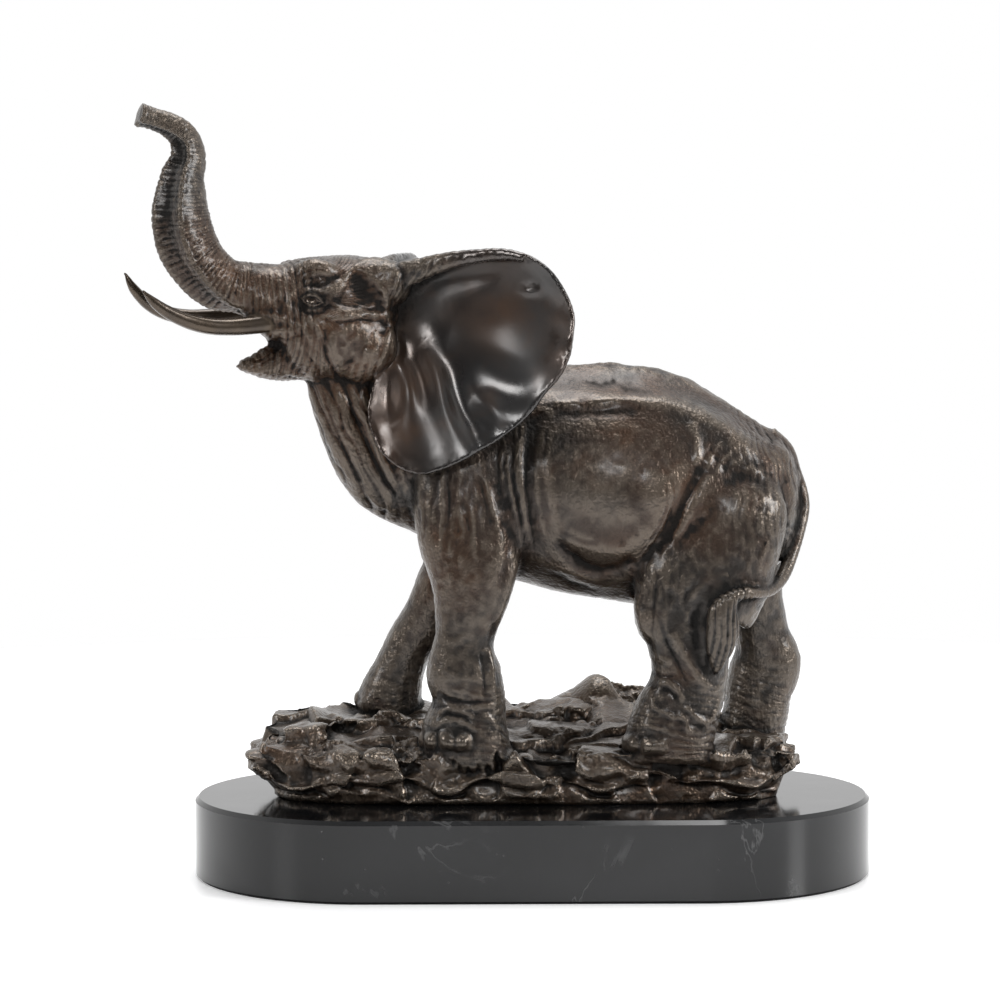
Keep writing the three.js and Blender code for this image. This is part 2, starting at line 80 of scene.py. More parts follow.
def curve(points, t, closed=False):
    """Places at shares t of a centripetal Catmull-Rom curve through the points."""
    p = np.asarray(points, float)
    n = len(p)
    t = np.atleast_1d(np.asarray(t, float))
    at = t * (n if closed else n - 1)
    seg = np.floor(at).astype(int)
    seg = np.clip(seg, 0, n - 1 if closed else n - 2)
    w = at - seg
    if closed:
        p0, p1, p2, p3 = (p[(seg + k) % n] for k in (-1, 0, 1, 2))
    else:
        ext = np.vstack([2 * p[0] - p[1], p, 2 * p[-1] - p[-2]])
        p0, p1, p2, p3 = (ext[seg + k] for k in (0, 1, 2, 3))
    d0, d1, d2 = (np.linalg.norm(b - a, axis=1) ** 0.5 for a, b in ((p0, p1), (p1, p2), (p2, p3)))
    d1 = np.where(d1 < 1e-4, 1.0, d1)
    d0 = np.where(d0 < 1e-4, d1, d0)
    d2 = np.where(d2 < 1e-4, d1, d2)
    d0, d1, d2 = d0[:, None], d1[:, None], d2[:, None]
    m1 = ((p1 - p0) / d0 - (p2 - p0) / (d0 + d1) + (p2 - p1) / d1) * d1
    m2 = ((p2 - p1) / d1 - (p3 - p1) / (d1 + d2) + (p3 - p2) / d2) * d1
    w = w[:, None]
    return (
        p1
        + m1 * w
        + (3 * (p2 - p1) - 2 * m1 - m2) * w**2
        + (2 * (p1 - p2) + m1 + m2) * w**3
    )


def spaced(points, count, closed=False):
    """The same curve at even distances along it."""
    fine = curve(points, np.linspace(0, 1, 801), closed)
    run = np.concatenate([[0], np.cumsum(np.linalg.norm(np.diff(fine, axis=0), axis=1))])
    want = np.linspace(0, run[-1], count + 1 if closed else count)
    if closed:
        want = want[:-1]
    return np.stack([np.interp(want, run, fine[:, k]) for k in range(fine.shape[1])], 1)


def section(half):
    right = [tuple(p) for p in half]
    left = [(-x, y) for x, y in right[1:-1]]
    ring = [right[0], *left, *reversed(right[1:])]
    return np.array([(x, y, 0.0) for x, y in ring])


ROUND = section([(0, 1), (0.75, 0.75), (1, 0), (0.75, -0.75), (0, -1)])
BACK = section([(0, 1), (0.34, 0.87), (0.68, 0.68), (1, 0.02), (0.78, -0.66), (0, -1)])
HEAD = section([(0, 1), (0.6, 0.86), (0.94, 0.36), (1, -0.2), (0.74, -0.78), (0, -1)])
TRUNK = section([(0, 1), (0.76, 0.68), (1, 0.04), (0.95, -0.7), (0.74, -1), (0.3, -0.86), (0, -0.8)])
SOFT = section([(0, 1), (0.8, 0.62), (1, 0), (0.8, -0.62), (0, -1)])

HEAD_TURN = math.radians(22)
TRUNK_TURN = math.radians(47)
TRUNK_SIDE = (math.sin(TRUNK_TURN), -math.cos(TRUNK_TURN), 0)
NECK = np.array([-45.0, 0, 0])
FORWARD = np.array([-math.cos(HEAD_TURN), -math.sin(HEAD_TURN), 0])
LEFT = np.array([math.sin(HEAD_TURN), -math.cos(HEAD_TURN), 0])


def on_head(forward, left, up):
    return NECK + FORWARD * forward + LEFT * left + np.array([0, 0, up])


def head_rows(rows):
    return [(*on_head(*row[:3]), *row[3:]) for row in rows]


# A form is its points and faces, with a label and two surface coordinates for each point:
# the distance along it and the turn round it.


class Form:
    def __init__(self, points, faces, along, around, label):
        self.points = points
        self.faces = faces
        self.along = along
        self.around = around
        self.label = label


def loft(rings, label, along=None):
    """Skins rings of as many points each and closes both ends with a fan."""
    rings = np.asarray(rings)
    rows, sides, _ = rings.shape
    points = rings.reshape(-1, 3)
    first = rings[0].mean(0)
    last = rings[-1].mean(0)
    points = np.vstack([points, first, last])
    i, j = np.meshgrid(np.arange(rows - 1), np.arange(sides), indexing="ij")
    k = (j + 1) % sides
    quads = np.stack([i * sides + j, i * sides + k, (i + 1) * sides + k, (i + 1) * sides + j], -1)
    faces = quads.reshape(-1, 4).tolist()
    n = rows * sides
    faces += [[n, (q + 1) % sides, q] for q in range(sides)]
    base = (rows - 1) * sides
    faces += [[n + 1, base + q, base + (q + 1) % sides] for q in range(sides)]
    if along is None:
        steps = np.linalg.norm(np.diff(rings.mean(1), axis=0), axis=1)
        along = np.concatenate([[0], np.cumsum(steps)])
    s = np.concatenate([np.repeat(along, sides), [along[0], along[-1]]])
    a = np.concatenate([np.tile(np.arange(sides) / sides, rows), [0, 0]])
    return Form(points, faces, s, a, label)


def limb(stations, outline=ROUND, sides=48, rings=90, side=(0, -1, 0), label="skin"):
    st = np.asarray(stations, float)
    t = np.linspace(0, 1, rings + 1)
    centre = curve(st[:, :3], t)
    ahead = curve(st[:, :3], np.clip(t + 1e-4, 0, 1)) - curve(st[:, :3], np.clip(t - 1e-4, 0, 1))
    ahead /= np.linalg.norm(ahead, axis=1)[:, None]
    size = curve(np.column_stack([st[:, 3:5], np.zeros(len(st))]), t)
    side = np.asarray(side, float)
    across = side - ahead * (ahead @ side)[:, None]
    across /= np.linalg.norm(across, axis=1)[:, None]
    over = np.cross(ahead, across)
    out = spaced(outline, sides, closed=True)
    rings = (
        centre[:, None]
        + across[:, None] * (out[None, :, :1] * size[:, None, :1])
        + over[:, None] * (out[None, :, 1:2] * size[:, None, 1:2])
    )
    return loft(rings, label)


def barrel(stations, outline, sides=80, rings=120, label="skin"):
    st = np.asarray(stations, float)
    t = np.linspace(0, 1, rings + 1)
    path = curve(st[:, [0, 1, 4]], t)
    edge = curve(np.column_stack([st[:, 2:4], np.zeros(len(st))]), t)
    out = spaced(outline, sides, closed=True)
    middle = edge[:, :2].mean(1)
    height = (edge[:, 0] - edge[:, 1]) / 2
    x = np.repeat(path[:, :1], sides, 1)
    y = path[:, 1:2] - out[None, :, 0] * path[:, 2:3]
    z = middle[:, None] + out[None, :, 1] * height[:, None]
    return loft(np.stack([x, y, z], -1), label)


def swelling(place, size, label="skin", turn=0.0, steps=20):
    u = np.linspace(0.02, math.pi - 0.02, steps)
    v = np.linspace(0, 2 * math.pi, 2 * steps, endpoint=False)
    ring = np.stack([
        np.sin(u)[:, None] * np.cos(v)[None],
        np.sin(u)[:, None] * np.sin(v)[None],
        -np.cos(u)[:, None] * np.ones_like(v)[None],
    ], -1) * np.asarray(size)
    c, s = math.cos(turn), math.sin(turn)
    spin = np.array([[c, s, 0], [-s, c, 0], [0, 0, 1]])
    return loft(ring @ spin + np.asarray(place), label)


def grid(front, back, along, around, label):
    """A sheet with a front and a back, closed round its edge."""
    rows, cols, _ = front.shape
    points = np.vstack([front.reshape(-1, 3), back.reshape(-1, 3)])
    n = rows * cols
    i, j = np.meshgrid(np.arange(rows - 1), np.arange(cols - 1), indexing="ij")
    a = (i * cols + j).ravel()
    faces = np.stack([a, a + 1, a + cols + 1, a + cols], -1)
    faces = np.vstack([faces, n + np.stack([a, a + cols, a + cols + 1, a + 1], -1)]).tolist()
    for i in range(rows - 1):
        a, b = i * cols, (i + 1) * cols
        faces.append([a, b, n + b, n + a])
        a, b = a + cols - 1, b + cols - 1
        faces.append([b, a, n + a, n + b])
    for j in range(cols - 1):
        faces.append([j + 1, j, n + j, n + j + 1])
        a = (rows - 1) * cols + j
        faces.append([a, a + 1, n + a + 1, n + a])
    return Form(points, faces, np.tile(along.ravel(), 2), np.tile(around.ravel(), 2), label)


# The animal's forms, in millimetres above the rock's underside.

TORSO = [
    (104, 0, 126, 107, 7), (101.5, 0, 134, 98, 16), (97, 0, 139.5, 90, 23), (89, 0, 144.5, 84, 28),
    (75, 0, 154, 79, 32), (60, 0, 162.5, 75, 34), (45, 0, 167, 73.5, 35), (28, 0, 168, 76, 35),
    (10, 0, 167, 79, 33), (-8, 0, 166, 84, 29), (-26, 0, 168, 92, 26), (-45, -2, 176, 102, 22),
    (-58, -6, 184, 108, 18), (-67, -9, 187, 114, 16), (-75, -12, 186, 125, 13),
    (-81, -14, 184, 140, 10), (-86, -15, 178, 157, 6),
]
SKULL = [
    (2, 200, 186, 9), (8, 206, 170, 19), (18, 209, 164, 23), (29, 210.2, 161, 24),
    (40, 209.6, 161, 22), (49, 208.5, 165, 18.5), (56, 206.5, 174, 15), (64, 206.5, 181, 12),
    (70, 207, 186, 9),
]
TRUNK_PATH = [
    (52, 0, 193, 12, 13), (60, 0, 196, 11, 11), (67, 0, 197.5, 10, 9.8), (77, 0, 199.5, 9.6, 9.5),
    (85, 0, 206, 9.6, 9.7), (90, 0, 214, 9.8, 10.2), (92.5, 0, 224, 9.4, 9.8),
    (92.6, 0, 232, 8.4, 8.6), (92, 0, 239, 7.4, 7), (90.2, 0, 244.5, 6.4, 5.9),
    (90, 0, 249, 5.6, 5.5), (91.3, 0, 253.5, 5, 5), (94.5, 0, 257, 4.6, 4.6),
    (99, 0, 259.5, 4.2, 4.1), (104, 0, 261, 4, 3.8), (109.5, 0, 262.6, 4.6, 4.2),
]
LEFT_TUSK = [
    (46, 9.6, 187, 3.4, 4), (56, 9.8, 185, 3.4, 3.8), (65.2, 10, 183.9, 3.2, 3.5),
    (72, 10.4, 183.2, 3.2, 3.4), (80.2, 11.2, 182.8, 3.1, 3.2), (87, 12, 183.2, 3, 3.1),
    (94.3, 12.8, 184.8, 2.8, 2.9), (102.3, 14, 188, 2.4, 2.5), (108.5, 15, 191.9, 1.8, 1.9),
    (113.4, 15.8, 196.6, 0.4, 0.4),
]
RIGHT_TUSK = [
    (46, -10, 189, 3.4, 4), (56, -11.4, 188.4, 3.4, 3.6), (64, -12.6, 187.7, 3.2, 3.4),
    (72, -13.4, 186.9, 3.1, 3.3), (80, -14, 186.5, 3, 3.2), (88, -14.4, 186.6, 2.9, 3),
    (96.9, -14.4, 188.5, 2.6, 2.7), (103.3, -14.2, 192, 2.3, 2.4), (108.6, -13.7, 197.3, 1.8, 1.9),
    (112.4, -13.1, 203.6, 0.4, 0.4),
]
JAW = [
    (30, 0, 172.6, 15, 10.6), (44, 0, 171, 12, 8.6), (55, 0, 169.8, 9.5, 7.8),
    (63, 0, 168.8, 7, 5.8), (69, 0, 168, 4, 2.6), (72.6, 0, 167.6, 1.4, 0.9),
]
LEFT_FORELEG = [
    (-24, -13, 152, 8, 12), (-26, -18, 132, 11, 19), (-26, -20, 118, 11.5, 20),
    (-25, -22, 104, 11.5, 19.3), (-23, -23, 91, 11.3, 17.6), (-23.3, -23, 81, 11, 15.2),
    (-24.8, -23, 71, 10.3, 12.7), (-26, -23, 63.5, 9.8, 11.4), (-26.6, -23, 56.6, 10, 12.7),
    (-26.4, -23, 51, 10.6, 14.4), (-25.6, -23, 46.5, 10.6, 14.5), (-23.6, -23, 41.5, 10.4, 13.1),
    (-24, -23, 36.5, 11, 14), (-25.2, -23, 31, 12, 16), (-25.8, -23, 26, 12.6, 17),
    (-25.6, -23, 20, 12.8, 17.2), (-25.6, -23, 14, 12.2, 16.4),
]
RIGHT_FORELEG = [
    (-22, 12, 140, 8, 12), (-26, 18, 112, 11, 16), (-30, 21, 88, 11, 13),
    (-35.5, 22, 76.6, 10.6, 11.6), (-41, 23.5, 66.4, 10.2, 10.4), (-47, 25, 58, 9.8, 9.8),
    (-51, 26, 50, 10, 9.8), (-53.4, 26.5, 44, 10.4, 10.6), (-55.4, 27, 38, 11.4, 12.2),
    (-56.6, 27.5, 33, 12.2, 13), (-57, 27.5, 28, 12.4, 13), (-57, 27.5, 20, 12, 12.4),
]
LEFT_HINDLEG = [
    (80, -8, 134, 6, 8), (78.5, -14, 124, 11, 17), (77, -20, 112, 14.5, 21.5),
    (74.5, -22, 101, 14, 21.5), (70, -23, 91, 13.4, 23.5), (63.4, -24, 81, 12.6, 25),
    (59.4, -24.5, 71.5, 11.4, 20.8), (60, -25, 63.6, 10.8, 17), (60.3, -25, 56.8, 10.4, 15.4),
    (60.3, -25, 50, 10.4, 14.6), (58.9, -25, 42, 11, 14.9), (56, -25, 35, 12, 16.2),
    (53.8, -25, 29, 12.8, 16.8), (52.6, -25, 23, 13, 17.1), (52.2, -25, 16, 12.4, 16.4),
]
RIGHT_HINDLEG = [
    (82, 8, 134, 6, 8), (84, 16, 108, 12, 17), (86, 19, 87, 12, 14.5), (87.5, 20, 77, 11.4, 12.6),
    (90.6, 22, 66.7, 10.6, 10.8), (92.2, 23, 58.5, 10.4, 11), (93.6, 23.5, 53.4, 10.6, 12.6),
    (94, 24, 48.3, 10.8, 14), (92.8, 24, 43, 11, 14), (91, 24, 37.5, 11.4, 13.2),
    (90.3, 24, 31, 12, 13), (89, 24, 24, 12.4, 13), (88.5, 24, 17, 12, 12.4),
]
TAIL = [
    (91, 0, 137, 6, 7), (97.6, 0, 132.6, 5, 5.4), (101.6, -1, 125, 3.8, 3.8),
    (104.4, -2, 117.6, 3.2, 3.4), (105.2, -3.4, 112, 3, 3.2), (103.8, -6.4, 104.6, 2.8, 3),
    (100.4, -10.6, 93.8, 2.6, 2.8), (96.6, -17, 86, 2.5, 2.6), (91.6, -25, 81.8, 2.4, 2.3),
    (86, -32, 81, 2.3, 2.1), (80, -37, 82, 2.4, 2),
]
TUFT = [
    (84, -35, 81, 2.2, 1.8), (77, -37, 80.6, 3, 2.6), (72.5, -37.6, 75, 3.4, 5.6),
    (72, -37, 66, 3.2, 6.2), (70.5, -35.6, 58, 2.6, 4.6), (69.5, -34.5, 51, 1, 1.2),
]
EAR_ROOT = [(-6, 12, -3), (-9, 3, -3), (-9, -6, -2)]
EAR_RIM = [
    (-3.7, 17, -0.8), (6.2, 20.8, -1.9), (17.3, 23, -2.4), (38.4, 24, -3), (48.8, 22.2, -1.1),
    (58.2, 16.2, -0.9), (65.9, 3.7, -1), (67.2, -6.8, -0.5), (64.2, -20.2, 0.8), (56, -29.9, 1.2),
    (50.8, -36.7, 1.3), (39.1, -46.5, 3.2), (29, -52.4, 4.4), (16.3, -58.2, 6.8), (8.4, -59.8, 9.2),
    (-1.1, -56.2, 11.2), (-8.8, -48, 11.3), (-12.1, -36.3, 10.6), (-10.8, -25.6, 7.9),
    (-7.6, -11.9, 5.3),
]
EAR_FOLDS = [
    (0.1, 0.08, 2), (0.3, 0.14, -2.6), (0.5, 0.07, 1.4), (0.64, 0.07, 3), (0.75, 0.05, -2),
    (0.86, 0.06, 2.2),
]
EAR_THICKNESS = 2.6
EAR_SWING = {1: math.radians(46), -1: math.radians(50)}


def skull():
    rows = []
    for forward, top, bottom, width in SKULL:
        x, y, _ = on_head(forward, 0, 0)
        rows.append((x, y, top, bottom, width))
    return barrel(rows, HEAD, 80, 90, "head")


def ear_axes(hand):
    """Where the ear grows from, the way it spreads and the way its inner face looks."""
    swing = EAR_SWING[hand]
    outwards = -FORWARD * math.cos(swing) + LEFT * math.sin(swing) * hand
    facing = FORWARD * math.sin(swing) + LEFT * math.cos(swing) * hand
    return on_head(10, 21 * hand, 187), outwards, facing


def ear(hand):
    rows, steps = 200, 60
    base, outwards, facing = ear_axes(hand)
    v = np.linspace(0, 1, rows + 1)
    u = np.linspace(0, 1, steps + 1)
    root = curve(EAR_ROOT, v)
    rim = spaced(EAR_RIM, rows + 1)
    fold = sum(h * np.exp(-(((v - p) / w) ** 2)) for p, w, h in EAR_FOLDS)
    at = root[:, None] + (rim - root)[:, None] * u[None, :, None]
    bowl = -5 * np.sin(np.pi * u)[None] * np.sin(np.pi * np.minimum(1, v * 1.25))[:, None]
    lift = at[..., 2] + bowl + fold[:, None] * 1.4 * (u**0.8 * (1 - 0.8 * u**3))[None]
    place = base + outwards * at[..., :1] + facing * lift[..., None] + np.array([0, 0, 1]) * at[..., 1:2]
    half = (EAR_THICKNESS / 2) * (1.3 - 0.6 * u)[None, :, None]
    front = place + facing * half
    back = place - facing * half
    along = np.repeat(u[None], rows + 1, 0)
    around = np.repeat(v[:, None], steps + 1, 1)
    if hand > 0:
        return grid(back, front, along, around, "left_ear")
    return grid(front, back, along, around, "right_ear")


EAR_ROLL = [
    (-12, 10, 0, 5, 6.5), (-4, 14.5, 0, 4, 5.4), (6, 18, -1.2, 3.1, 4.2), (17, 20.8, -1.8, 2.5, 3.2),
    (28, 22.3, -2.2, 2.1, 2.6), (38.4, 22.8, -2.4, 1.8, 2.2), (47, 21.6, -1.2, 1.5, 1.6),
]


def ear_roll(hand):
    base, outwards, facing = ear_axes(hand)
    rows = []
    for back, up, out, width, depth in EAR_ROLL:
        rows.append((*(base + outwards * back + facing * out + np.array([0, 0, up])), width, depth))
    return limb(rows, ROUND, 32, 60, tuple(facing), "roll")


def toenails(place, height, half_width, half_length, turns):
    return [
        swelling(
            (
                place[0] - math.cos(turn) * (half_length - 1),
                place[1] - math.sin(turn) * (half_width - 0.8),
                height,
            ),
            (2.6, 4, 3.8), "nail", turn, 12,
        )
        for turn in turns
    ]


def roughness(x, y):
    return (np.sin(x * 0.21 + y * 0.13) + np.sin(x * 0.11 - y * 0.27 + 1.3) + np.sin(x * 0.43 + 2.1)) / 3


def bump(x, y, mx, my, rx, ry):
    return np.exp(-(((x - mx) / rx) ** 2) - (((y - my) / ry) ** 2))


def ground_height(x, y):
    return (
        20.5 + (y + 22) * 0.19
        + 8.5 * bump(x, y, 29, 34, 11, 12)
        + 3.6 * bump(x, y, 46, 32, 9, 11)
        + 2.5 * bump(x, y, -85, 8, 12, 20)
        - 8 * bump(x, y, 96, 22, 22, 26)
        - 3 * bump(x, y, 4, -18, 12, 9)
        + 1.6 * roughness(x, y)
    )


def rock_ring(spread, height, sides, wave=0):
    turn = np.arange(sides) / sides * 2 * np.pi
    across = np.sign(np.cos(turn)) * np.abs(np.cos(turn)) ** 0.6
    deep = np.sign(np.sin(turn)) * np.abs(np.sin(turn)) ** 0.6
    ragged = 1 + (0.012 + height * 0.002) * roughness(across * 110 + height * 1.5, deep * 60 - height)
    lean = np.where(across < 0, height * 0.2 * spread, 0)
    x = -2 + across * 98 * spread * ragged - lean
    return np.stack([
        x,
        1.5 + deep * 34 * spread * ragged,
        height + wave * (0.7 * np.sin(x * 0.115 + 2.2) + 0.5 * np.sin(x * 0.21 + deep)),
    ], -1)


ROCK_WALL = [
    (0, 1, 0), (3, 0.985, 0), (7, 1.02, 2.6), (9, 1.08, 3), (11.5, 1.05, 2.6), (16, 1.06, 1.2),
    (19.5, 1.03, 0),
]


def ground():
    sides = 420
    rings = [rock_ring(spread, 0, sides) for spread in (0.02, 0.5)]
    wall = curve(ROCK_WALL, np.linspace(0, 1, 44))
    rings += [rock_ring(spread, height, sides, wave) for height, spread, wave in wall]
    for spread in np.linspace(1.01, 0.02, 60):
        ring = rock_ring(spread, 20, sides)
        ring[:, 2] = ground_height(ring[:, 0], ring[:, 1])
        rings.append(ring)
    return loft(rings, "rock")


STONES = [
    (-66, 8, 15, 10, 29.5, 0.03, -0.02), (-86, -2, 12, 15, 28, -0.06, 0.1),
    (-62, -18, 16, 9, 22, 0.04, 0), (-1, -20, 14, 10, 19.5, 0.12, 0),
    (8, 2, 17, 10, 26, 0.16, 0.08), (6, 20, 15, 9, 31.5, 0.2, 0.06),
    (24, -22, 13, 8, 21, 0.06, -0.04), (84, -14, 13, 10, 20.5, 0.05, 0.1),
]


def stone(x, y, half_x, half_y, top, tilt_x, tilt_y):
    i = np.arange(8)
    turn = (i + 0.3 * np.sin(i * 2.1 + x)) / 8 * 2 * np.pi
    ragged = 1 + 0.14 * np.sin(i * 1.9 + y)
    rings = []
    for spread, down in ((1.12, -7), (1.04, -1.2), (0.9, 0), (0.02, 0.4)):
        px = np.cos(turn) * half_x * spread * ragged
        py = np.sin(turn) * half_y * spread * ragged
        rings.append(np.stack([x + px, y + py, top + down + px * tilt_y + py * tilt_x], -1))
    return loft(rings, "stone")


def all_forms():
    left = tuple(LEFT)
    forms = [
        barrel(TORSO, BACK, 120, 160, "body"),
        skull(),
        limb(head_rows(TRUNK_PATH), TRUNK, 64, 260, TRUNK_SIDE, "trunk"),
        limb(head_rows(JAW), SOFT, 48, 60, left, "head"),
        limb(head_rows(LEFT_TUSK), ROUND, 32, 90, left, "tusk"),
        limb(head_rows(RIGHT_TUSK), ROUND, 32, 90, left, "tusk"),
        ear(1),
        ear(-1),
        ear_roll(1),
        ear_roll(-1),
        limb(LEFT_FORELEG, ROUND, 56, 130, label="leg"),
        limb(RIGHT_FORELEG, ROUND, 56, 120, label="leg"),
        limb(LEFT_HINDLEG, ROUND, 56, 130, label="leg"),
        limb(RIGHT_HINDLEG, ROUND, 56, 120, label="leg"),
        limb(TAIL, ROUND, 24, 90, label="tail"),
        limb(TUFT, SOFT, 32, 50, label="tuft"),
        ground(),
        *[stone(*row) for row in STONES],
        *toenails((-25.6, -23), 24, 12.6, 17, (-0.5, 0.1, 0.7, 1.35)),
        *toenails((-56.6, 27.5), 33, 12.2, 13, (-0.8, 0, 0.8)),
        *toenails((52.4, -25), 23, 12.8, 16.8, (-0.5, 0.1, 0.7, 1.3)),
        *toenails((89.5, 24), 24, 12.2, 13, (-0.8, 0, 0.8)),
    ]
    for hand in (1, -1):
        forms += [
            limb(head_rows([
                (38, 9.5 * hand, 193, 6, 6.5), (46, 10.4 * hand, 189, 6.8, 8.2),
                (54, 10.6 * hand, 186.4, 6, 6.6), (61, 10.6 * hand, 184.6, 4.4, 4.6),
            ]), SOFT, 40, 40, left, "head"),
            swelling(on_head(26, 12 * hand, 175), (13, 10, 14), "head"),
            swelling(on_head(22, 13 * hand, 199), (15, 9, 10.4), "head"),
            swelling(on_head(45, 11.4 * hand, 203), (9, 6.6, 5.4), "head"),
            swelling(on_head(42.5, 16.4 * hand, 194.4), (4.8, 3.4, 3.8), "head"),
            swelling((-22, 15 * hand, 116), (17, 13, 28), "body"),
            swelling((70, 15 * hand, 122), (23, 15, 23), "body"),
        ]
    return forms


def join_forms(forms, name):
    points, faces, count = [], [], 0
    for form in forms:
        points.append(form.points)
        faces += [[i + count for i in face] for face in form.faces]
        count += len(form.points)
    mesh = bpy.data.meshes.new(name)
    mesh.from_pydata((np.vstack(points) * MM + np.array([0, 0, ROCK_BASE * MM])).tolist(), [], faces)
    mesh.update()
    obj = bpy.data.objects.new(name, mesh)
    bpy.context.collection.objects.link(obj)
    return obj


def only(obj):
    bpy.ops.object.select_all(action="DESELECT")
    obj.select_set(True)
    bpy.context.view_layer.objects.active = obj


def places(obj):
    p = np.empty(len(obj.data.vertices) * 3)
    obj.data.vertices.foreach_get("co", p)
    return p.reshape(-1, 3) / MM - np.array([0, 0, ROCK_BASE])


def place(obj, p):
    obj.data.vertices.foreach_set("co", ((p + np.array([0, 0, ROCK_BASE])) * MM).ravel())
    obj.data.update()


class Net:
    """The edges of a mesh, kept for smoothing."""

    def __init__(self, mesh):
        n = len(mesh.vertices)
        e = np.empty(len(mesh.edges) * 2, int)
        mesh.edges.foreach_get("vertices", e)
        e = e.reshape(-1, 2)
        a = np.concatenate([e[:, 0], e[:, 1]])
        b = np.concatenate([e[:, 1], e[:, 0]])
        order = np.argsort(a, kind="stable")
        self.to = b[order]
        counts = np.bincount(a, minlength=n)
        self.start = np.concatenate([[0], np.cumsum(counts)[:-1]])
        self.counts = np.maximum(counts, 1)

    def mean(self, x):
        total = np.add.reduceat(x[self.to], self.start, axis=0)
        return total / (self.counts[:, None] if x.ndim > 1 else self.counts)

    def blur(self, x, rounds, share=0.5):
        for _ in range(rounds):
            x = x + share * (self.mean(x) - x)
        return x

    def soften(self, x, rounds):
        """A blur that keeps the large forms at their size."""
        once = self.blur(x, rounds)
        return 2 * once - self.blur(once, rounds)


# Carving. The near side is carved by strokes laid over the camera's picture of it, in pixels
# of a picture 1000 wide, and the far side gets the same strokes mirrored.

AHEAD = (LOOK_POINT - EYE_POINT) / np.linalg.norm(LOOK_POINT - EYE_POINT)
FLAT = np.array([1.0, 0, 0])
STEEP = np.cross(FLAT, AHEAD)
RIGHT = FLAT * math.cos(TILT) + STEEP * math.sin(TILT)
UPWARD = STEEP * math.cos(TILT) - FLAT * math.sin(TILT)
PIXELS_PER_MM = 2.56
FOCAL = PICTURE * LENS / SENSOR


def in_picture(p):
    seen = p + np.array([0, 0, ROCK_BASE]) - EYE_POINT
    depth = seen @ AHEAD
    across = PICTURE / 2 + FOCAL * (seen @ RIGHT) / depth
    down = PICTURE / 2 - FOCAL * (seen @ UPWARD) / depth
    return np.stack([across, down], -1)


class Noise:
    """Smooth noise from -1 to 1, one unit from one lattice point to the next."""

    def __init__(self, seed):
        self.table = np.random.RandomState(seed).rand(32, 32, 32) * 2 - 1

    def __call__(self, p):
        low = np.floor(p).astype(int)
        f = p - low
        f = f * f * (3 - 2 * f)
        value = np.zeros(len(p))
        for dx in (0, 1):
            for dy in (0, 1):
                for dz in (0, 1):
                    part = self.table[(low[:, 0] + dx) & 31, (low[:, 1] + dy) & 31, (low[:, 2] + dz) & 31]
                    wx = f[:, 0] if dx else 1 - f[:, 0]
                    wy = f[:, 1] if dy else 1 - f[:, 1]
                    wz = f[:, 2] if dz else 1 - f[:, 2]
                    value += part * wx * wy * wz
        return value


def ramp(x, low, high):
    t = np.clip((x - low) / (high - low), 0, 1)
    return t * t * (3 - 2 * t)


def hump(x, middle, half):
    return np.exp(-(((x - middle) / half) ** 2))


def rolls(phase, sharp=0.5):
    """Rounded rolls with narrow creases between them, about zero on average."""
    return np.abs(np.sin(np.pi * phase)) ** sharp - 0.75


class Surface:
    """The casting while it is carved: its points, normals, labels and masks."""

    LABELS = ["body", "head", "trunk", "tusk", "left_ear", "right_ear", "leg", "tail", "tuft",
              "rock", "stone", "nail", "roll"]

    def __init__(self, obj, forms):
        self.obj = obj
        self.net = Net(obj.data)
        self.p = places(obj)
        tree_points = np.vstack([f.points for f in forms])
        tree_label = np.concatenate([np.full(len(f.points), self.LABELS.index(f.label)) for f in forms])
        tree_along = np.concatenate([f.along for f in forms])
        tree_around = np.concatenate([f.around for f in forms])
        tree = kdtree.KDTree(len(tree_points))
        for i, point in enumerate(tree_points.tolist()):
            tree.insert(point, i)
        tree.balance()
        near = np.array([tree.find(point)[1] for point in self.p.tolist()])
        self.label = tree_label[near]
        self.along = tree_along[near]
        self.around = tree_around[near]

    def mask(self, *names, rounds=6):
        hit = np.isin(self.label, [self.LABELS.index(n) for n in names]).astype(float)
        return self.net.blur(hit, rounds)

    def normals(self):
        place(self.obj, self.p)
        n = np.empty(len(self.p) * 3, np.float32)
        self.obj.data.vertices.foreach_get("normal", n)
        return n.reshape(-1, 3).astype(float)


def near_side(p, n, head):
    """Mirrors the far half of the body and head to the near side."""
    q, m = p.copy(), n.copy()
    middle = np.interp(p[:, 0], [-86, -75, -67, -58, -45, -26], [-15, -12, -9, -6, -2, 0])
    far = (p[:, 1] > middle) & ~head
    q[far, 1] = 2 * middle[far] - q[far, 1]
    m[far, 1] *= -1
    left = (p - NECK) @ LEFT
    far = (left < 0) & head
    q[far] -= 2 * left[far, None] * LEFT
    m[far] -= 2 * (n[far] @ LEFT)[:, None] * LEFT
    return q, m


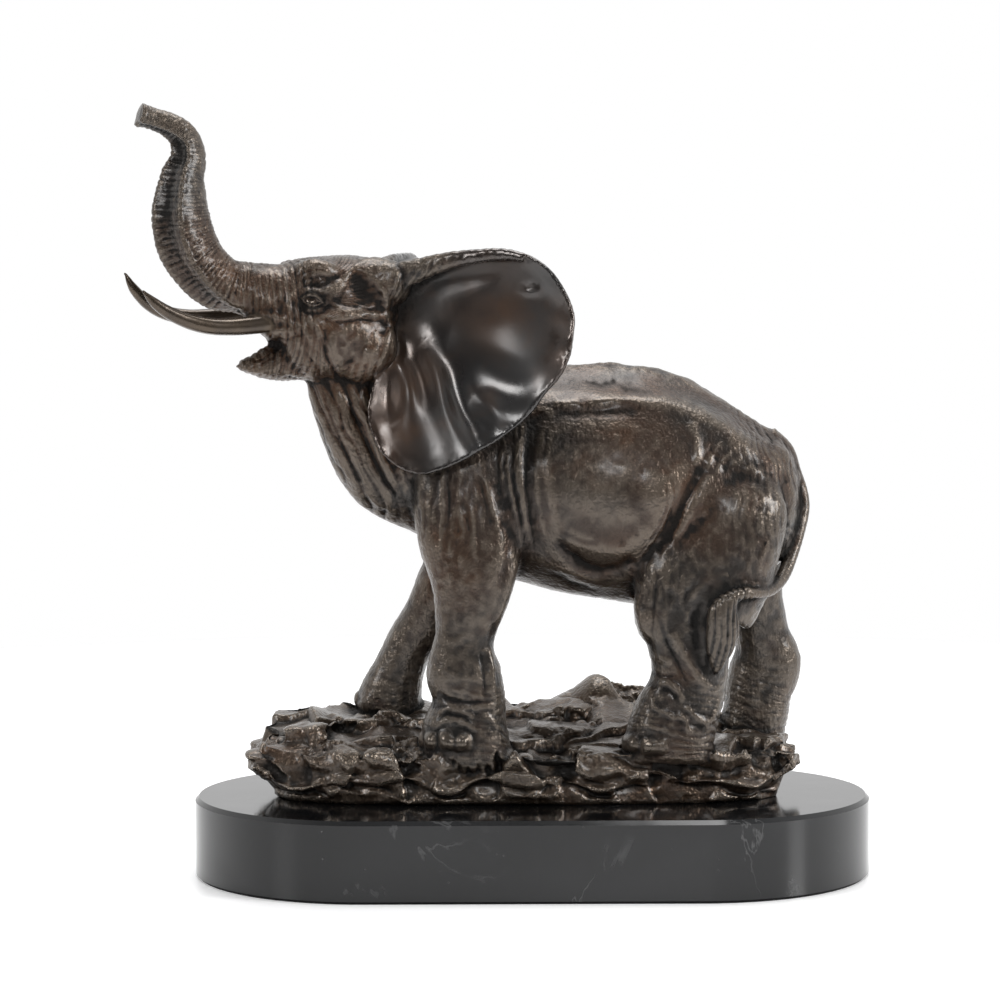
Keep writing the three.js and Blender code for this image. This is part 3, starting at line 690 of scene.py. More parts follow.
class Carver:
    """Adds strokes, drawn in the picture, to a field of heights in millimetres."""

    def __init__(self, view, facing):
        self.view = view
        self.facing = facing
        self.field = np.zeros(len(view))

    def stroke(self, mask, points, width, height, kind="ridge"):
        line = curve([(x, y, 0) for x, y in points], np.linspace(0, 1, 6 * len(points)))[:, :2]
        reach = width * 3.2 * PIXELS_PER_MM
        low, high = line.min(0) - reach, line.max(0) + reach
        v = self.view
        hit = (v[:, 0] > low[0]) & (v[:, 0] < high[0]) & (v[:, 1] > low[1]) & (v[:, 1] < high[1])
        hit = np.nonzero(hit & (mask > 0.01))[0]
        if len(hit) == 0:
            return
        v = v[hit]
        best = np.full(len(hit), np.inf)
        share = np.zeros(len(hit))
        lengths = np.linalg.norm(np.diff(line, axis=0), axis=1)
        total = lengths.sum()
        run = 0
        for a, b, length in zip(line[:-1], line[1:], lengths):
            if length < 1e-6:
                continue
            d = (b - a) / length
            t = np.clip((v - a) @ d, 0, length)
            off = v - a - t[:, None] * d
            dist = np.hypot(off[:, 0], off[:, 1])
            closer = dist < best
            best[closer] = dist[closer]
            share[closer] = ((run + t) / total)[closer]
            run += length
        d = best / PIXELS_PER_MM / width
        shape = np.exp(-1.4 * d) if kind == "crease" else np.exp(-(d**2))
        fade = np.clip(np.sin(np.pi * np.clip(share, 0.001, 0.999)), 0, 1) ** 0.5
        self.field[hit] += height * shape * fade * (mask * self.facing)[hit]

    def strokes(self, mask, rows):
        for points, width, height, *rest in rows:
            self.stroke(mask, points, width, height, *rest)

    def mass(self, mask, x, y, rx, ry, height, turn=0, power=2):
        dx = (self.view[:, 0] - x) / PIXELS_PER_MM
        dy = (self.view[:, 1] - y) / PIXELS_PER_MM
        c, s = math.cos(math.radians(turn)), math.sin(math.radians(turn))
        a = np.abs((dx * c + dy * s) / rx)
        b = np.abs((dy * c - dx * s) / ry)
        self.field += height * np.exp(-(a**power + b**power)) * mask * self.facing


# Swellings and hollows: place in the picture, half sizes and height in millimetres, turn and power.
HEAD_MASSES = [
    (363, 291, 6.2, 7.5, -1.9), (357, 346, 9.5, 11.5, 1.9, 0, 2.6), (309, 303, 6.5, 4.6, -2.3),
    (311, 302, 2.8, 2.0, 1.9), (298, 272, 8, 4, -0.7, 20), (296, 316, 6, 4, -0.8),
    (338, 300, 4.5, 4, -1.2, 20), (326, 306, 3.0, 2.0, -0.8), (303, 306, 1.8, 1.6, -0.8),
    (260, 357, 4.5, 4.2, -1.4), (277, 346, 3.2, 2.6, -1.4),
]
BODY_MASSES = [
    (604, 480, 26, 22, 1.9), (655, 495, 6, 7, 0.9), (590, 500, 9, 7, 0.4), (625, 520, 10, 8, 0.5),
    (622, 386, 14, 5, -0.5), (735, 478, 8, 6, -1.0), (712, 520, 12, 12, 1.0),
]

HEAD_STROKES = [
    # Brow over the eye, the ridge of the forehead, and the bone under the temple.
    ([(299, 259), (318, 264), (340, 270), (356, 267), (372, 276)], 2.6, 1.1),
    ([(360, 266), (348, 276), (338, 284), (328, 290), (316, 291), (303, 290)], 1.7, 1.5),
    ([(352, 280), (340, 290), (330, 298), (324, 306)], 1.3, 0.8),
    ([(322, 316), (345, 316), (368, 314), (388, 318)], 1.7, 1.0),
    ([(372, 275), (383, 290), (387, 306)], 2, 0.6),
    # Lids of the eye.
    ([(301, 300), (306, 294.5), (313, 294), (321, 300), (326, 306)], 0.95, 1.2),
    ([(302, 303), (308, 307.5), (316, 308), (325, 306)], 0.9, 0.9),
    ([(300, 309), (308, 313), (318, 313.5), (329, 311)], 0.8, -0.8, "crease"),
    ([(297, 291), (304, 286), (314, 285), (325, 290)], 0.9, -0.7, "crease"),
    # Cheek, jowl and jaw.
    ([(331, 330), (332, 345), (338, 362), (350, 374), (364, 376)], 1.9, 0.9),
    ([(325, 328), (325, 348), (331, 366), (342, 380)], 1.2, -0.9, "crease"),
    ([(388, 322), (388, 340), (384, 356), (376, 370)], 1.6, 0.7),
    ([(284, 371), (300, 376), (316, 380), (331, 389)], 1.2, 0.9),
    ([(285, 376), (301, 381), (316, 386), (330, 395)], 1.1, -1.0, "crease"),
    ([(305, 350), (312, 362), (322, 374)], 0.9, -0.6, "crease"),
    # Wrinkled skin of the brow, the temple and below the eye.
    ([(300, 281), (318, 277), (336, 278), (350, 284)], 0.8, -0.6, "crease"),
    ([(296, 275), (314, 270), (334, 271)], 0.8, -0.5, "crease"),
    ([(330, 300), (338, 306), (350, 309)], 0.9, 0.7),
    ([(328, 309), (344, 311), (360, 309), (374, 303)], 0.9, 0.7),
    ([(322, 320), (340, 322), (362, 320), (384, 322)], 0.8, -0.6, "crease"),
    ([(372, 285), (380, 294), (386, 300)], 0.8, -0.5, "crease"),
    ([(376, 280), (386, 288), (391, 298)], 0.8, -0.5, "crease"),
    ([(292, 290), (288, 304), (290, 318)], 1.2, 0.6),
    ([(286, 290), (282, 304), (283, 318)], 0.8, -0.5, "crease"),
    ([(305, 318), (316, 326), (322, 338)], 1.0, 0.6),
    ([(296, 322), (306, 332), (312, 346)], 1.0, 0.5),
    ([(290, 330), (298, 342), (303, 356)], 0.9, 0.5),
    # Mouth corner and the lip.
    ([(259, 341), (270, 344), (282, 350), (288, 362)], 1.0, -1.2, "crease"),
    ([(262, 341), (250, 350), (240, 364)], 0.9, 0.8),
    ([(240, 367), (254, 371), (270, 372)], 0.8, 0.7),
    ([(276, 348), (262, 356), (250, 362)], 0.6, -0.5, "crease"),
    ([(278, 353), (265, 362), (255, 367)], 0.6, -0.5, "crease"),
    ([(270, 345), (274, 356), (272, 370)], 0.9, -0.6, "crease"),
    ([(279, 348), (283, 360), (281, 376)], 1.0, -0.7, "crease"),
    # Sheath of the tusk.
    ([(247, 319), (262, 316), (280, 318), (300, 326)], 1.5, 0.8),
    ([(262, 330), (278, 331), (296, 330)], 1.2, 0.7),
    ([(249, 328), (262, 340), (284, 340), (304, 334)], 1.0, -0.8, "crease"),
    ([(256, 314), (257, 322), (256, 332)], 0.8, 0.6),
    ([(266, 315), (268, 324), (266, 334)], 0.8, -0.5),
    # Where the ear grows from the head: a swollen edge with loose skin.
    ([(389, 285), (386, 300), (388, 320), (392, 345), (396, 366)], 1.6, 0.9),
    ([(383, 262), (396, 275), (394, 290)], 2, 0.8),
    ([(392, 262), (410, 266), (425, 266)], 2, 0.7),
]

EAR_STROKES = [
    # The upper edge is turned over, and its lower side is undercut.
    ([(396, 309), (412, 302), (431, 289), (447, 281), (468, 276), (486, 271), (511, 262)], 3.0, -1.3),
    ([(524, 266), (534, 270), (544, 278), (554, 290), (563, 304)], 2.6, 0.8),
    # The main ridges that fan out from the root.
    ([(418, 326), (434, 342), (447, 356), (455, 374), (460, 392), (468, 410), (480, 428), (492, 446)],
     5.8, 2.7),
    ([(460, 352), (480, 372), (500, 386), (517, 394), (534, 402)], 6.4, 2.0),
    ([(402, 350), (396, 372), (391, 396), (388, 420)], 4.6, 1.7),
    ([(410, 338), (417, 362), (424, 384), (430, 410)], 3.2, 0.9),
    # Hollows between the ridges.
    ([(424, 350), (436, 376), (442, 400), (450, 424), (462, 448)], 4.6, -1.9),
    ([(478, 396), (490, 412), (500, 430)], 4.6, -1.5),
    ([(404, 362), (408, 386), (410, 412)], 3.4, -0.9),
    ([(450, 336), (490, 350), (530, 356), (560, 350)], 9, -1.4),
    ([(430, 300), (465, 302), (500, 300)], 7, 0.7),
    # Waves of the free rim.
    ([(545, 368), (558, 350), (567, 328)], 4.0, 0.9),
    ([(385, 440), (402, 456), (428, 464), (455, 460)], 4.0, 0.7),
    # Small marks of the modeller's tool.
    ([(470, 303), (482, 300), (494, 304)], 1.2, -0.3),
    ([(476, 311), (488, 313), (502, 310)], 1.2, 0.3),
    ([(430, 455), (440, 452), (452, 456)], 1.2, 0.35),
]

BODY_STROKES = [
    # Shelf along the spine, and the line that it runs into over the hip.
    ([(540, 410), (566, 405), (590, 403), (625, 400), (658, 402), (690, 412), (722, 429), (752, 452)],
     3.2, 0.9),
    ([(630, 401), (652, 403), (672, 412)], 2.4, 0.25),
    ([(552, 414), (580, 413), (610, 412), (640, 412)], 2.6, -0.8),
    ([(690, 414), (714, 428), (744, 444), (766, 462), (777, 486)], 5.5, 0.9),
    ([(553, 403), (566, 405), (580, 403)], 1.6, 0.9),
    ([(592, 405), (608, 402), (622, 401)], 1.6, 0.6),
    ([(586, 380), (600, 384), (616, 380)], 1.6, -0.4),
    ([(620, 388), (640, 392), (660, 398)], 2.4, -0.5),
    ([(700, 375), (740, 398), (775, 424)], 3, 0.5),
    ([(690, 422), (695, 436), (697, 450), (696, 466)], 1.8, 0.9),
    # Creases behind the shoulder.
    ([(536, 410), (531, 445), (531, 480), (535, 520), (540, 558)], 5.0, -1.5),
    ([(528, 430), (525, 470), (528, 510), (535, 552)], 0.9, -0.6, "crease"),
    ([(519, 440), (517, 462), (520, 486), (525, 515), (530, 545)], 1.5, 0.9),
    ([(509, 446), (510, 472), (515, 505), (521, 535), (522, 560)], 1.4, 0.9),
    ([(500, 452), (502, 484), (507, 515), (513, 540)], 1.3, 0.7),
    ([(514, 440), (513, 468), (517, 498), (523, 530)], 0.8, -0.6, "crease"),
    ([(490, 456), (493, 486), (498, 515)], 1.2, 0.5),
    ([(543, 420), (541, 450), (543, 480)], 1.2, 0.4),
    ([(552, 424), (549, 455), (551, 490), (557, 525)], 1.4, 0.35),
    ([(498, 448), (499, 480), (506, 515)], 0.9, -0.7, "crease"),
    ([(511, 432), (510, 465), (516, 500), (522, 530)], 0.9, -0.8, "crease"),
    ([(524, 420), (521, 450), (522, 480), (526, 512)], 0.8, 0.6),
    ([(481, 465), (484, 500), (490, 530)], 1.2, 0.5),
    ([(537, 430), (536, 470), (539, 510), (546, 545)], 1.4, 0.5),
    ([(539, 560), (552, 566), (575, 572), (600, 580)], 1.4, 0.6),
    # Crease behind the ribs, before the thigh.
    ([(706, 462), (692, 482), (680, 508), (669, 534), (656, 558), (642, 580), (630, 596)], 3.6, -2.3),
    ([(700, 478), (688, 500), (676, 528), (664, 552)], 1.0, -0.7, "crease"),
    ([(672, 478), (674, 500), (664, 530), (648, 552), (634, 568)], 1.1, -0.8, "crease"),
    ([(664, 482), (667, 505), (656, 532), (640, 552)], 1.0, -0.6, "crease"),
    ([(702, 490), (690, 506), (680, 530), (668, 556), (654, 582)], 2.0, 1.2),
    ([(712, 500), (700, 520), (688, 548), (676, 576)], 1.2, 0.6),
    ([(710, 446), (716, 458), (728, 470)], 1.0, -0.6, "crease"),
    ([(722, 442), (712, 456), (706, 470)], 1.0, 0.5),
    ([(734, 448), (722, 462), (716, 474)], 1.0, 0.5),
    # Folds low on the flank.
    ([(556, 540), (572, 556), (592, 568), (616, 568), (636, 558)], 2.6, -1.6),
    ([(566, 536), (592, 546), (618, 550), (640, 540), (652, 526)], 3.4, 1.1),
    ([(556, 560), (580, 578), (610, 584), (634, 576)], 2.2, 0.7),
    ([(560, 532), (580, 540), (600, 544)], 1.2, -0.4),
    ([(548, 572), (570, 582), (600, 590)], 1.2, -0.5),
    ([(520, 583), (560, 590), (600, 597), (628, 602)], 1.4, 0.7),
    ([(530, 590), (570, 598), (615, 604)], 1.0, -0.6, "crease"),
    # Hip bone, rump and root of the tail.
    ([(747, 464), (757, 474), (766, 483), (774, 493)], 2.2, 1.5),
    ([(730, 462), (742, 466), (750, 478), (748, 490)], 3, 0.7),
    ([(784, 470), (786, 500), (784, 530), (776, 562)], 2.2, -1.5),
    ([(755, 506), (752, 530), (747, 552), (746, 575)], 0.9, -0.7, "crease"),
    ([(762, 500), (761, 525), (757, 550), (755, 572)], 0.9, -0.7, "crease"),
    ([(769, 505), (769, 530), (766, 552), (762, 576)], 1.2, 0.7),
    ([(738, 500), (733, 525), (728, 550), (726, 570)], 1.6, 0.8),
    ([(744, 500), (740, 524), (736, 546)], 0.9, -0.6, "crease"),
    ([(728, 505), (722, 530), (716, 552)], 0.9, -0.5, "crease"),
    ([(776, 440), (784, 452), (790, 462)], 1.5, 0.8),
    ([(797, 470), (802, 484), (805, 496)], 1.5, 0.8),
    # Neck and throat.
    ([(334, 392), (345, 420), (358, 455), (372, 485), (392, 508)], 1.8, 0.9),
    ([(345, 388), (356, 418), (370, 452), (386, 482), (405, 505)], 1.3, -1.1, "crease"),
    ([(356, 384), (364, 412), (376, 444), (392, 474), (410, 498)], 1.9, 1.0),
    ([(368, 384), (374, 412), (386, 444), (400, 470)], 1.2, -1.1, "crease"),
    ([(322, 392), (332, 420), (345, 452), (360, 482)], 1.1, -0.9, "crease"),
    ([(380, 420), (390, 446), (404, 472), (412, 500)], 1.7, 0.9),
    ([(392, 440), (402, 462), (410, 486)], 1.1, -0.8, "crease"),
    ([(352, 478), (372, 498), (398, 514)], 1.4, 0.8),
    ([(413, 470), (420, 500), (424, 530)], 1.5, 0.8),
]

LEG_STROKES = [
    # Foreleg.
    ([(507, 508), (517, 535), (517, 562), (509, 588), (501, 614), (495, 640)], 1.5, 1.1),
    ([(499, 512), (508, 538), (507, 562), (500, 588)], 1.6, -0.7),
    ([(441, 470), (442, 500), (441, 530), (439, 560)], 1.1, 0.6),
    ([(447, 470), (449, 500), (448, 530)], 0.9, -0.5, "crease"),
    ([(485, 478), (492, 505), (499, 530)], 1.1, 0.7),
    ([(480, 478), (486, 505), (492, 530)], 0.9, -0.5, "crease"),
    ([(470, 500), (474, 530), (476, 560)], 1.0, 0.4),
    ([(458, 480), (460, 510), (463, 540)], 1.0, 0.4),
    ([(486, 640), (491, 660), (493, 680), (494, 700)], 1.2, 0.9),
    ([(480, 650), (484, 675), (485, 700)], 1.0, -0.6, "crease"),
    ([(437, 692), (450, 699), (470, 702), (496, 700)], 1.2, -1.0, "crease"),
    ([(438, 700), (452, 706), (472, 708), (494, 706)], 1.1, 0.7),
    ([(436, 716), (446, 709), (460, 711), (474, 718)], 0.9, 0.8),
    ([(437, 721), (447, 714), (460, 716), (473, 724)], 0.8, -0.6, "crease"),
    ([(434, 727), (446, 720), (461, 722), (476, 729)], 0.9, 0.7),
    ([(428, 734), (444, 727), (462, 728), (478, 736)], 0.8, -0.5, "crease"),
    ([(480, 712), (492, 720), (500, 732)], 1.0, 0.6),
    # Hind leg.
    ([(634, 595), (640, 618), (647, 642)], 1.6, 0.9),
    ([(657, 574), (654, 605), (652, 635)], 1.1, -0.6, "crease"),
    ([(673, 632), (680, 648), (690, 664), (700, 678), (710, 690)], 1.9, 1.1),
    ([(660, 620), (668, 645), (680, 668), (690, 690)], 1.0, -0.6, "crease"),
    ([(652, 655), (664, 660), (672, 664)], 1.2, 0.6),
    ([(658, 683), (670, 684), (680, 694), (683, 706)], 1.2, 0.9),
    ([(660, 690), (670, 692), (677, 700)], 0.9, -0.6, "crease"),
    ([(650, 690), (655, 708), (668, 714), (676, 722)], 1.0, 0.7),
    ([(684, 706), (696, 716), (708, 726)], 1.2, 0.7),
    ([(676, 712), (686, 722), (690, 736)], 1.2, 0.7),
    ([(642, 722), (654, 728), (668, 730)], 1.0, 0.6),
    ([(720, 700), (716, 712), (710, 722), (702, 728)], 1.3, 0.8),
    ([(648, 672), (662, 676), (676, 676)], 1.0, -0.7, "crease"),
    ([(700, 600), (694, 625), (698, 650)], 2.0, -0.8),
    ([(704, 580), (690, 590), (680, 610)], 1.0, -0.4, "crease"),
    # Far legs.
    ([(380, 658), (388, 660), (402, 660)], 1.0, 0.6),
    ([(378, 665), (388, 668), (400, 668)], 1.0, 0.6),
    ([(376, 672), (386, 676), (400, 676)], 1.0, 0.6),
    ([(368, 690), (378, 686), (392, 690), (400, 698)], 1.2, 0.7),
    ([(788, 650), (797, 660), (799, 672), (794, 686)], 1.6, 1.0),
    ([(756, 664), (768, 662), (776, 656)], 1.2, -0.8, "crease"),
    ([(760, 684), (776, 682), (790, 678)], 1.2, -0.8, "crease"),
]


# Nails of the near feet: place in the picture and half width.
NAILS = [(430, 740, 2.2), (446, 741, 2.9), (464, 742, 2.9), (616, 741, 2.0), (629, 743, 2.9), (649, 747, 3.0)]

# Tangled growth on the rock: place, half sizes and strength.
THICKETS = [(-84, -14, 22, 16, 1), (31, 34, 20, 15, 1), (-44, -26, 13, 12, 1), (72, -26, 18, 10, 0.8)]

# Height of the ragged lip along the front of the rock, and the same backwards behind it.
LIP_X = [-96, -80, -66, -57, -51, -42, -37, -33, -28, -20, -13, -10, 0, 7, 13, 27, 34, 39, 46, 55, 64,
         70, 75, 86, 99]
LIP_HEIGHT = [6.5, 5.3, 5.3, 7.2, 9.1, 11, 7.6, 5.3, 8.7, 11, 11, 5.7, 4, 4, 8.7, 13, 13, 9.5, 6.1, 8,
              11.4, 8.7, 7.2, 9.9, 10.3]


def carve(casting, forms):
    s = Surface(casting, forms)
    net = s.net
    figure = s.mask("body", "head", "leg", rounds=14)
    head = s.mask("head", "roll", rounds=6)
    ears = s.mask("left_ear", "right_ear", rounds=4)
    trunk = s.mask("trunk", rounds=10)
    body = s.mask("body", rounds=10)
    legs = s.mask("leg", rounds=10)
    rock = s.mask("rock", "stone", rounds=3)
    stones = s.mask("stone", rounds=5)
    tuft = s.mask("tuft", rounds=3)
    tail = s.mask("tail", rounds=4)
    smooth = net.soften(s.p, 60)
    slight = net.soften(s.p, 7)
    share = np.clip(figure * 1.5 - 0.25, 0, 1) * (1 - np.clip(rock * 3, 0, 1)) * (1 - np.clip(ears * 2, 0, 1))
    s.p = slight + share[:, None] * (smooth - slight)
    n = s.normals()
    turned = ("head", "trunk", "tusk", "left_ear", "right_ear", "roll")
    headed = np.isin(s.label, [s.LABELS.index(name) for name in turned])
    q, m = near_side(s.p, n, headed)
    view = in_picture(q)
    facing = ramp(-(m @ AHEAD), 0.05, 0.4)
    carver = Carver(view, facing)

    # Masses and strokes of the head and body, then of the legs.
    for row in HEAD_MASSES:
        carver.mass(head, *row)
    carver.strokes(head, HEAD_STROKES)
    carver.strokes(body, BODY_STROKES)
    for row in BODY_MASSES:
        carver.mass(body, *row)
    limbs = np.clip(legs + body, 0, 1)
    carver.strokes(limbs, LEG_STROKES)
    feet = s.mask("leg", "nail", rounds=2)
    for x, y, wide in NAILS:
        carver.mass(feet, x, y, wide + 1.1, 4.4, -1.2, power=3)
        carver.mass(feet, x, y, wide, 3.1, 2.9, power=3)

    # Skin: creases that run round and down the animal, and a pebbled grain.
    grain = Noise(3)
    broad = Noise(11)
    wander = broad(s.p / 9.0)
    wander2 = broad(s.p / 22.0 + 7)
    eye = view - np.array([311.0, 300.5])
    reach = np.hypot(eye[:, 0], eye[:, 1]) / PIXELS_PER_MM
    turn = np.arctan2(eye[:, 1], eye[:, 0])
    forward = (s.p - NECK) @ FORWARD
    fan = head * ramp(reach, 3, 8) * (1 - ramp(reach, 26, 44)) * (1 - 0.8 * ramp(forward, 46, 54))
    cheek = np.exp(-(((view[:, 0] - 357) / 26) ** 4) - ((view[:, 1] - 348) / 28) ** 4)
    fan = fan * (1 - 0.97 * cheek)
    carver.field += fan * 0.45 * rolls(turn * 8.2 + wander * 0.5) * (0.6 + 0.4 * broad(s.p / 7 + 3))
    bands = head * ramp(forward, 42, 50)
    carver.field += bands * 0.75 * rolls(forward / 2.3 + 0.35 * wander) * (0.75 + 0.25 * broad(s.p / 5 + 5))
    back = head * ramp(reach, 24, 36) * (1 - ramp(forward, 30, 44))
    slant = view[:, 0] * 0.8 + view[:, 1] * 0.35
    slanted = rolls(slant / PIXELS_PER_MM / 2.6 + wander * 0.6)
    carver.field += back * 0.6 * slanted * (0.6 + 0.4 * broad(s.p / 6))
    neck = body * ramp(-s.p[:, 0], 42, 60)
    carver.field += neck * 0.85 * rolls((s.p[:, 0] + 0.42 * s.p[:, 2]) / 5.4 + wander * 0.5) * facing
    down = body * ramp(s.p[:, 0], 68, 84) + body * hump(s.p[:, 0], -14, 9) * 0.7
    carver.field += down * 0.35 * rolls(s.p[:, 0] / 3.0 + s.p[:, 2] * 0.06 + wander * 0.8) * facing
    carver.field += body * 0.22 * grain(s.p / 1.9) * (0.5 + 0.5 * ramp(wander2, -0.3, 0.4))
    side_on = ramp(np.abs(n[:, 1]), 0.3, 0.7)
    shoulder = body * hump(s.p[:, 0], -13, 13) * side_on
    carver.field += shoulder * 0.3 * rolls(s.p[:, 0] / 2.6 - s.p[:, 2] * 0.05 + wander)
    carver.field += legs * 0.2 * grain(s.p / 2.1)
    toes = np.zeros(len(s.p))
    nails = np.zeros(len(s.p))
    for x, y, wide in NAILS:
        toes = np.maximum(toes, np.exp(-(((view[:, 0] - x) / 10) ** 4) - ((view[:, 1] - y) / 10) ** 4))
        half = wide * PIXELS_PER_MM
        nails = np.maximum(nails, np.exp(-(((view[:, 0] - x) / half) ** 4) - ((view[:, 1] - y) / 7) ** 4))
    low = legs * (1 - ramp(s.p[:, 2], 30, 66)) * (1 - toes * ramp(facing, 0, 0.3))
    ankles = rolls(s.p[:, 2] / 3.1 + wander * 0.9 + 0.02 * view[:, 0])
    carver.field += low * 0.55 * ankles * (0.6 + 0.4 * wander2)
    carver.field += legs * ramp(s.p[:, 2], 60, 90) * 0.4 * rolls(
        (view[:, 0] / PIXELS_PER_MM) / 3.4 + wander * 0.9) * (0.5 + 0.5 * wander2)
    carver.field += head * (0.16 + 0.2 * cheek) * grain(s.p / 1.7)
    carver.field += tail * 0.12 * rolls(s.along / 2.6 + wander * 0.3)
    carver.field += tuft * 0.7 * rolls(s.p[:, 0] * 0.42 + s.p[:, 1] * 0.2 + wander * 0.4)
    top_bumps = body * hump(s.p[:, 1], 0, 4) * ramp(s.p[:, 2], 120, 135)
    carver.field += top_bumps * 0.5 * broad(s.p * np.array([0.16, 0.3, 0.0]))

    # Trunk: rings all round, ribs on the flat underside, and a scalloped edge between.
    ring = spaced(TRUNK, 720, closed=True)
    edge = np.argmin(np.hypot(ring[:, 0] - 0.84, ring[:, 1] + 0.92)) / 720
    girth = np.interp(s.along, [0, 40, 75, 100, 150], [62, 58, 50, 32, 25])
    off = (s.around - edge) * girth
    far_off = (s.around - (1 - edge)) * girth
    under = ramp(s.around, 1 - edge - 0.01, 1 - edge + 0.01) * (1 - ramp(s.around, edge - 0.01, edge + 0.01))
    beat = rolls(s.along / 1.95 + 0.25 * wander)
    rooted = 1 - ramp(s.along, 34, 62)
    carver.field += trunk * (0.26 + 0.22 * under + 0.3 * rooted * (1 - under)) * beat
    scallop = 0.75 + 0.5 * rolls(s.along / 2.3 + 0.25, 1.0)
    tipward = (1 - 0.6 * ramp(s.along, 78, 105)) * ramp(s.along, 16, 30)
    carver.field += trunk * tipward * 0.8 * scallop * np.exp(-((off / 0.9) ** 2))
    carver.field += trunk * tipward * 0.35 * np.exp(-((far_off / 1.3) ** 2))
    carver.field += trunk * tipward * -0.7 * under * np.exp(-(((off + 1.8) / 1.4) ** 2))
    carver.field += trunk * 0.15 * grain(s.p / 1.6)

    # Rock: a smooth undercut foot, a ragged lip above it, and split slabs between tangled
    # growth higher up.
    beds = Noise(21)
    wall = rock * ramp(1 - np.abs(n[:, 2]), 0.3, 0.7)
    front = s.p[:, 1] < 0
    reach_x = np.where(front, s.p[:, 0], 4 - s.p[:, 0])
    lip = np.interp(reach_x, LIP_X, LIP_HEIGHT) + 0.8 * broad(s.p / 4.0)
    above = s.p[:, 2] - lip
    shape = 0.8 * np.exp(-((above / 1.6) ** 2)) - 0.9 * ramp(above, 0.8, 4.5) * (1 - ramp(above, 6, 10))
    foot = (1 - ramp(s.p[:, 2], 4, 9)) * ramp(np.abs(n[:, 1]), 0.4, 0.8)
    carver.field += wall * (shape + 2.0 * foot + 0.5 * beds(s.p / 9.0) * ramp(-above, -0.5, 1))
    bent = s.p + 1.0 * np.stack([beds(s.p / 8 + k) for k in (0, 9, 18)], -1)
    stony = np.nonzero(rock > 0.01)[0]
    calm = np.zeros(len(s.p))
    chips = np.zeros(len(s.p))
    slabs = np.zeros(len(s.p))
    for field, count, tilt, rise, seed in ((slabs, 75, 0.4, 1.6, 8), (chips, 700, 0.3, 0.4, 9)):
        rng = np.random.RandomState(seed)
        seeds = rng.uniform((-112, -40, 2), (108, 44, 34), (count, 3))
        seeds_tilt = rng.uniform(-tilt, tilt, (count, 3))
        seeds_rise = rng.uniform(-rise, rise, count)
        seeds_calm = rng.rand(count) < 0.6
        tree = kdtree.KDTree(count)
        for i, seed_place in enumerate((seeds * (1, 1, 0.9)).tolist()):
            tree.insert(seed_place, i)
        tree.balance()
        nearest = np.array([tree.find(q)[1] for q in (bent[stony] * (1, 1, 0.9)).tolist()])
        field[stony] = seeds_rise[nearest] + ((s.p[stony] - seeds[nearest]) * seeds_tilt[nearest]).sum(1)
        if field is slabs:
            calm[stony] = seeds_calm[nearest]
    thicket = np.zeros(len(s.p))
    for x, y, half_x, half_y, strength in THICKETS:
        thicket = np.maximum(thicket, strength * bump(s.p[:, 0], s.p[:, 1], x, y, half_x, half_y))
    calm = np.clip(net.blur(np.maximum(calm, ramp(0.5 - thicket, 0, 0.3)), 3) + stones + wall * 0.9, 0, 1)
    upper = rock * (0.5 + 0.5 * ramp(above, 0.5, 3.0)) * (1 - 0.8 * stones)
    carver.field += upper * 2.7 * np.tanh(net.blur(slabs, 2) / 3.0)
    carver.field += rock * (0.2 + 0.05 * wall) * np.tanh(net.blur(chips, 2))
    tangle = 1 - np.abs(beds(s.p / 3.6 + 0.6 * broad(s.p / 6)[:, None] + 3))
    tangle2 = 1 - np.abs(beds(s.p / 2.1 + 17))
    growth = rock * ramp(above, 0.5, 3.0) * (1 - stones) * (1 - 0.97 * calm)
    carver.field += growth * (1.3 * (tangle**3 - 0.5) + 0.9 * (tangle2**3 - 0.5) + 0.6 * broad(s.p / 8))
    carver.field += rock * 0.2 * broad(s.p / 6.5 + 11)
    carver.field += stones * (0.5 * hump(n[:, 2], 0.55, 0.25) + 0.35 * beds(s.p / 7.5))
    carver.field *= 1 - ramp(-s.p[:, 2], -1.2, -0.2)
    s.p = s.p + n * carver.field[:, None]

    # Ears: both faces of the sheet move together, so it keeps its thickness.
    sheet_carver = Carver(view, np.ones(len(view)))
    sheet_carver.strokes(ears, EAR_STROKES)
    sheet_carver.mass(ears, 500, 326, 16, 10, -0.8)
    sheet_carver.field = 1.2 * net.blur(sheet_carver.field, 34)
    sheet_carver.mass(ears, 532.5, 289, 4.0, 2.4, 0.9)
    sheet_carver.mass(ears, 532.5, 287.5, 2.4, 1.3, -1.5)
    grown = ears * ramp(s.along, 0.1, 0.35)
    wavy = np.sin(s.around * 70 + 2 * np.sin(s.around * 31)) * ramp(s.along, 0.82, 1.0)
    sheet_carver.field += 0.4 * wavy
    for hand, name in ((1, "left_ear"), (-1, "right_ear")):
        out = ear_axes(hand)[2]
        here = (s.label == s.LABELS.index(name)) * grown
        s.p = s.p + out * (sheet_carver.field * here)[:, None]
    bead = ears * hump(s.along, 1.0, 0.03)
    s.p = s.p + n * (0.2 * bead)[:, None]
    place(casting, s.p)
    line = np.interp(view[:, 0], [391, 411, 431, 447, 468, 486, 511], [306, 298, 282, 274, 268, 262, 255])
    skinned = ramp(line - view[:, 1], -1.5, 2) * (1 - ramp(view[:, 0], 430, 470))
    skinned = np.maximum(skinned, 1 - ramp(s.along, 0.06, 0.16)) * headed
    rolled = s.mask("roll", rounds=2) * ramp(view[:, 0], 430, 470)
    mark(casting, "ear", np.clip(ears * (1 - skinned) + rolled, 0, 1))
    weights = np.stack([
        trunk, bands, fan * (reach < 30), back, neck * facing, low * 0.6,
        legs * ramp(s.p[:, 2], 50, 75) * 0.3, shoulder, down * facing,
    ])
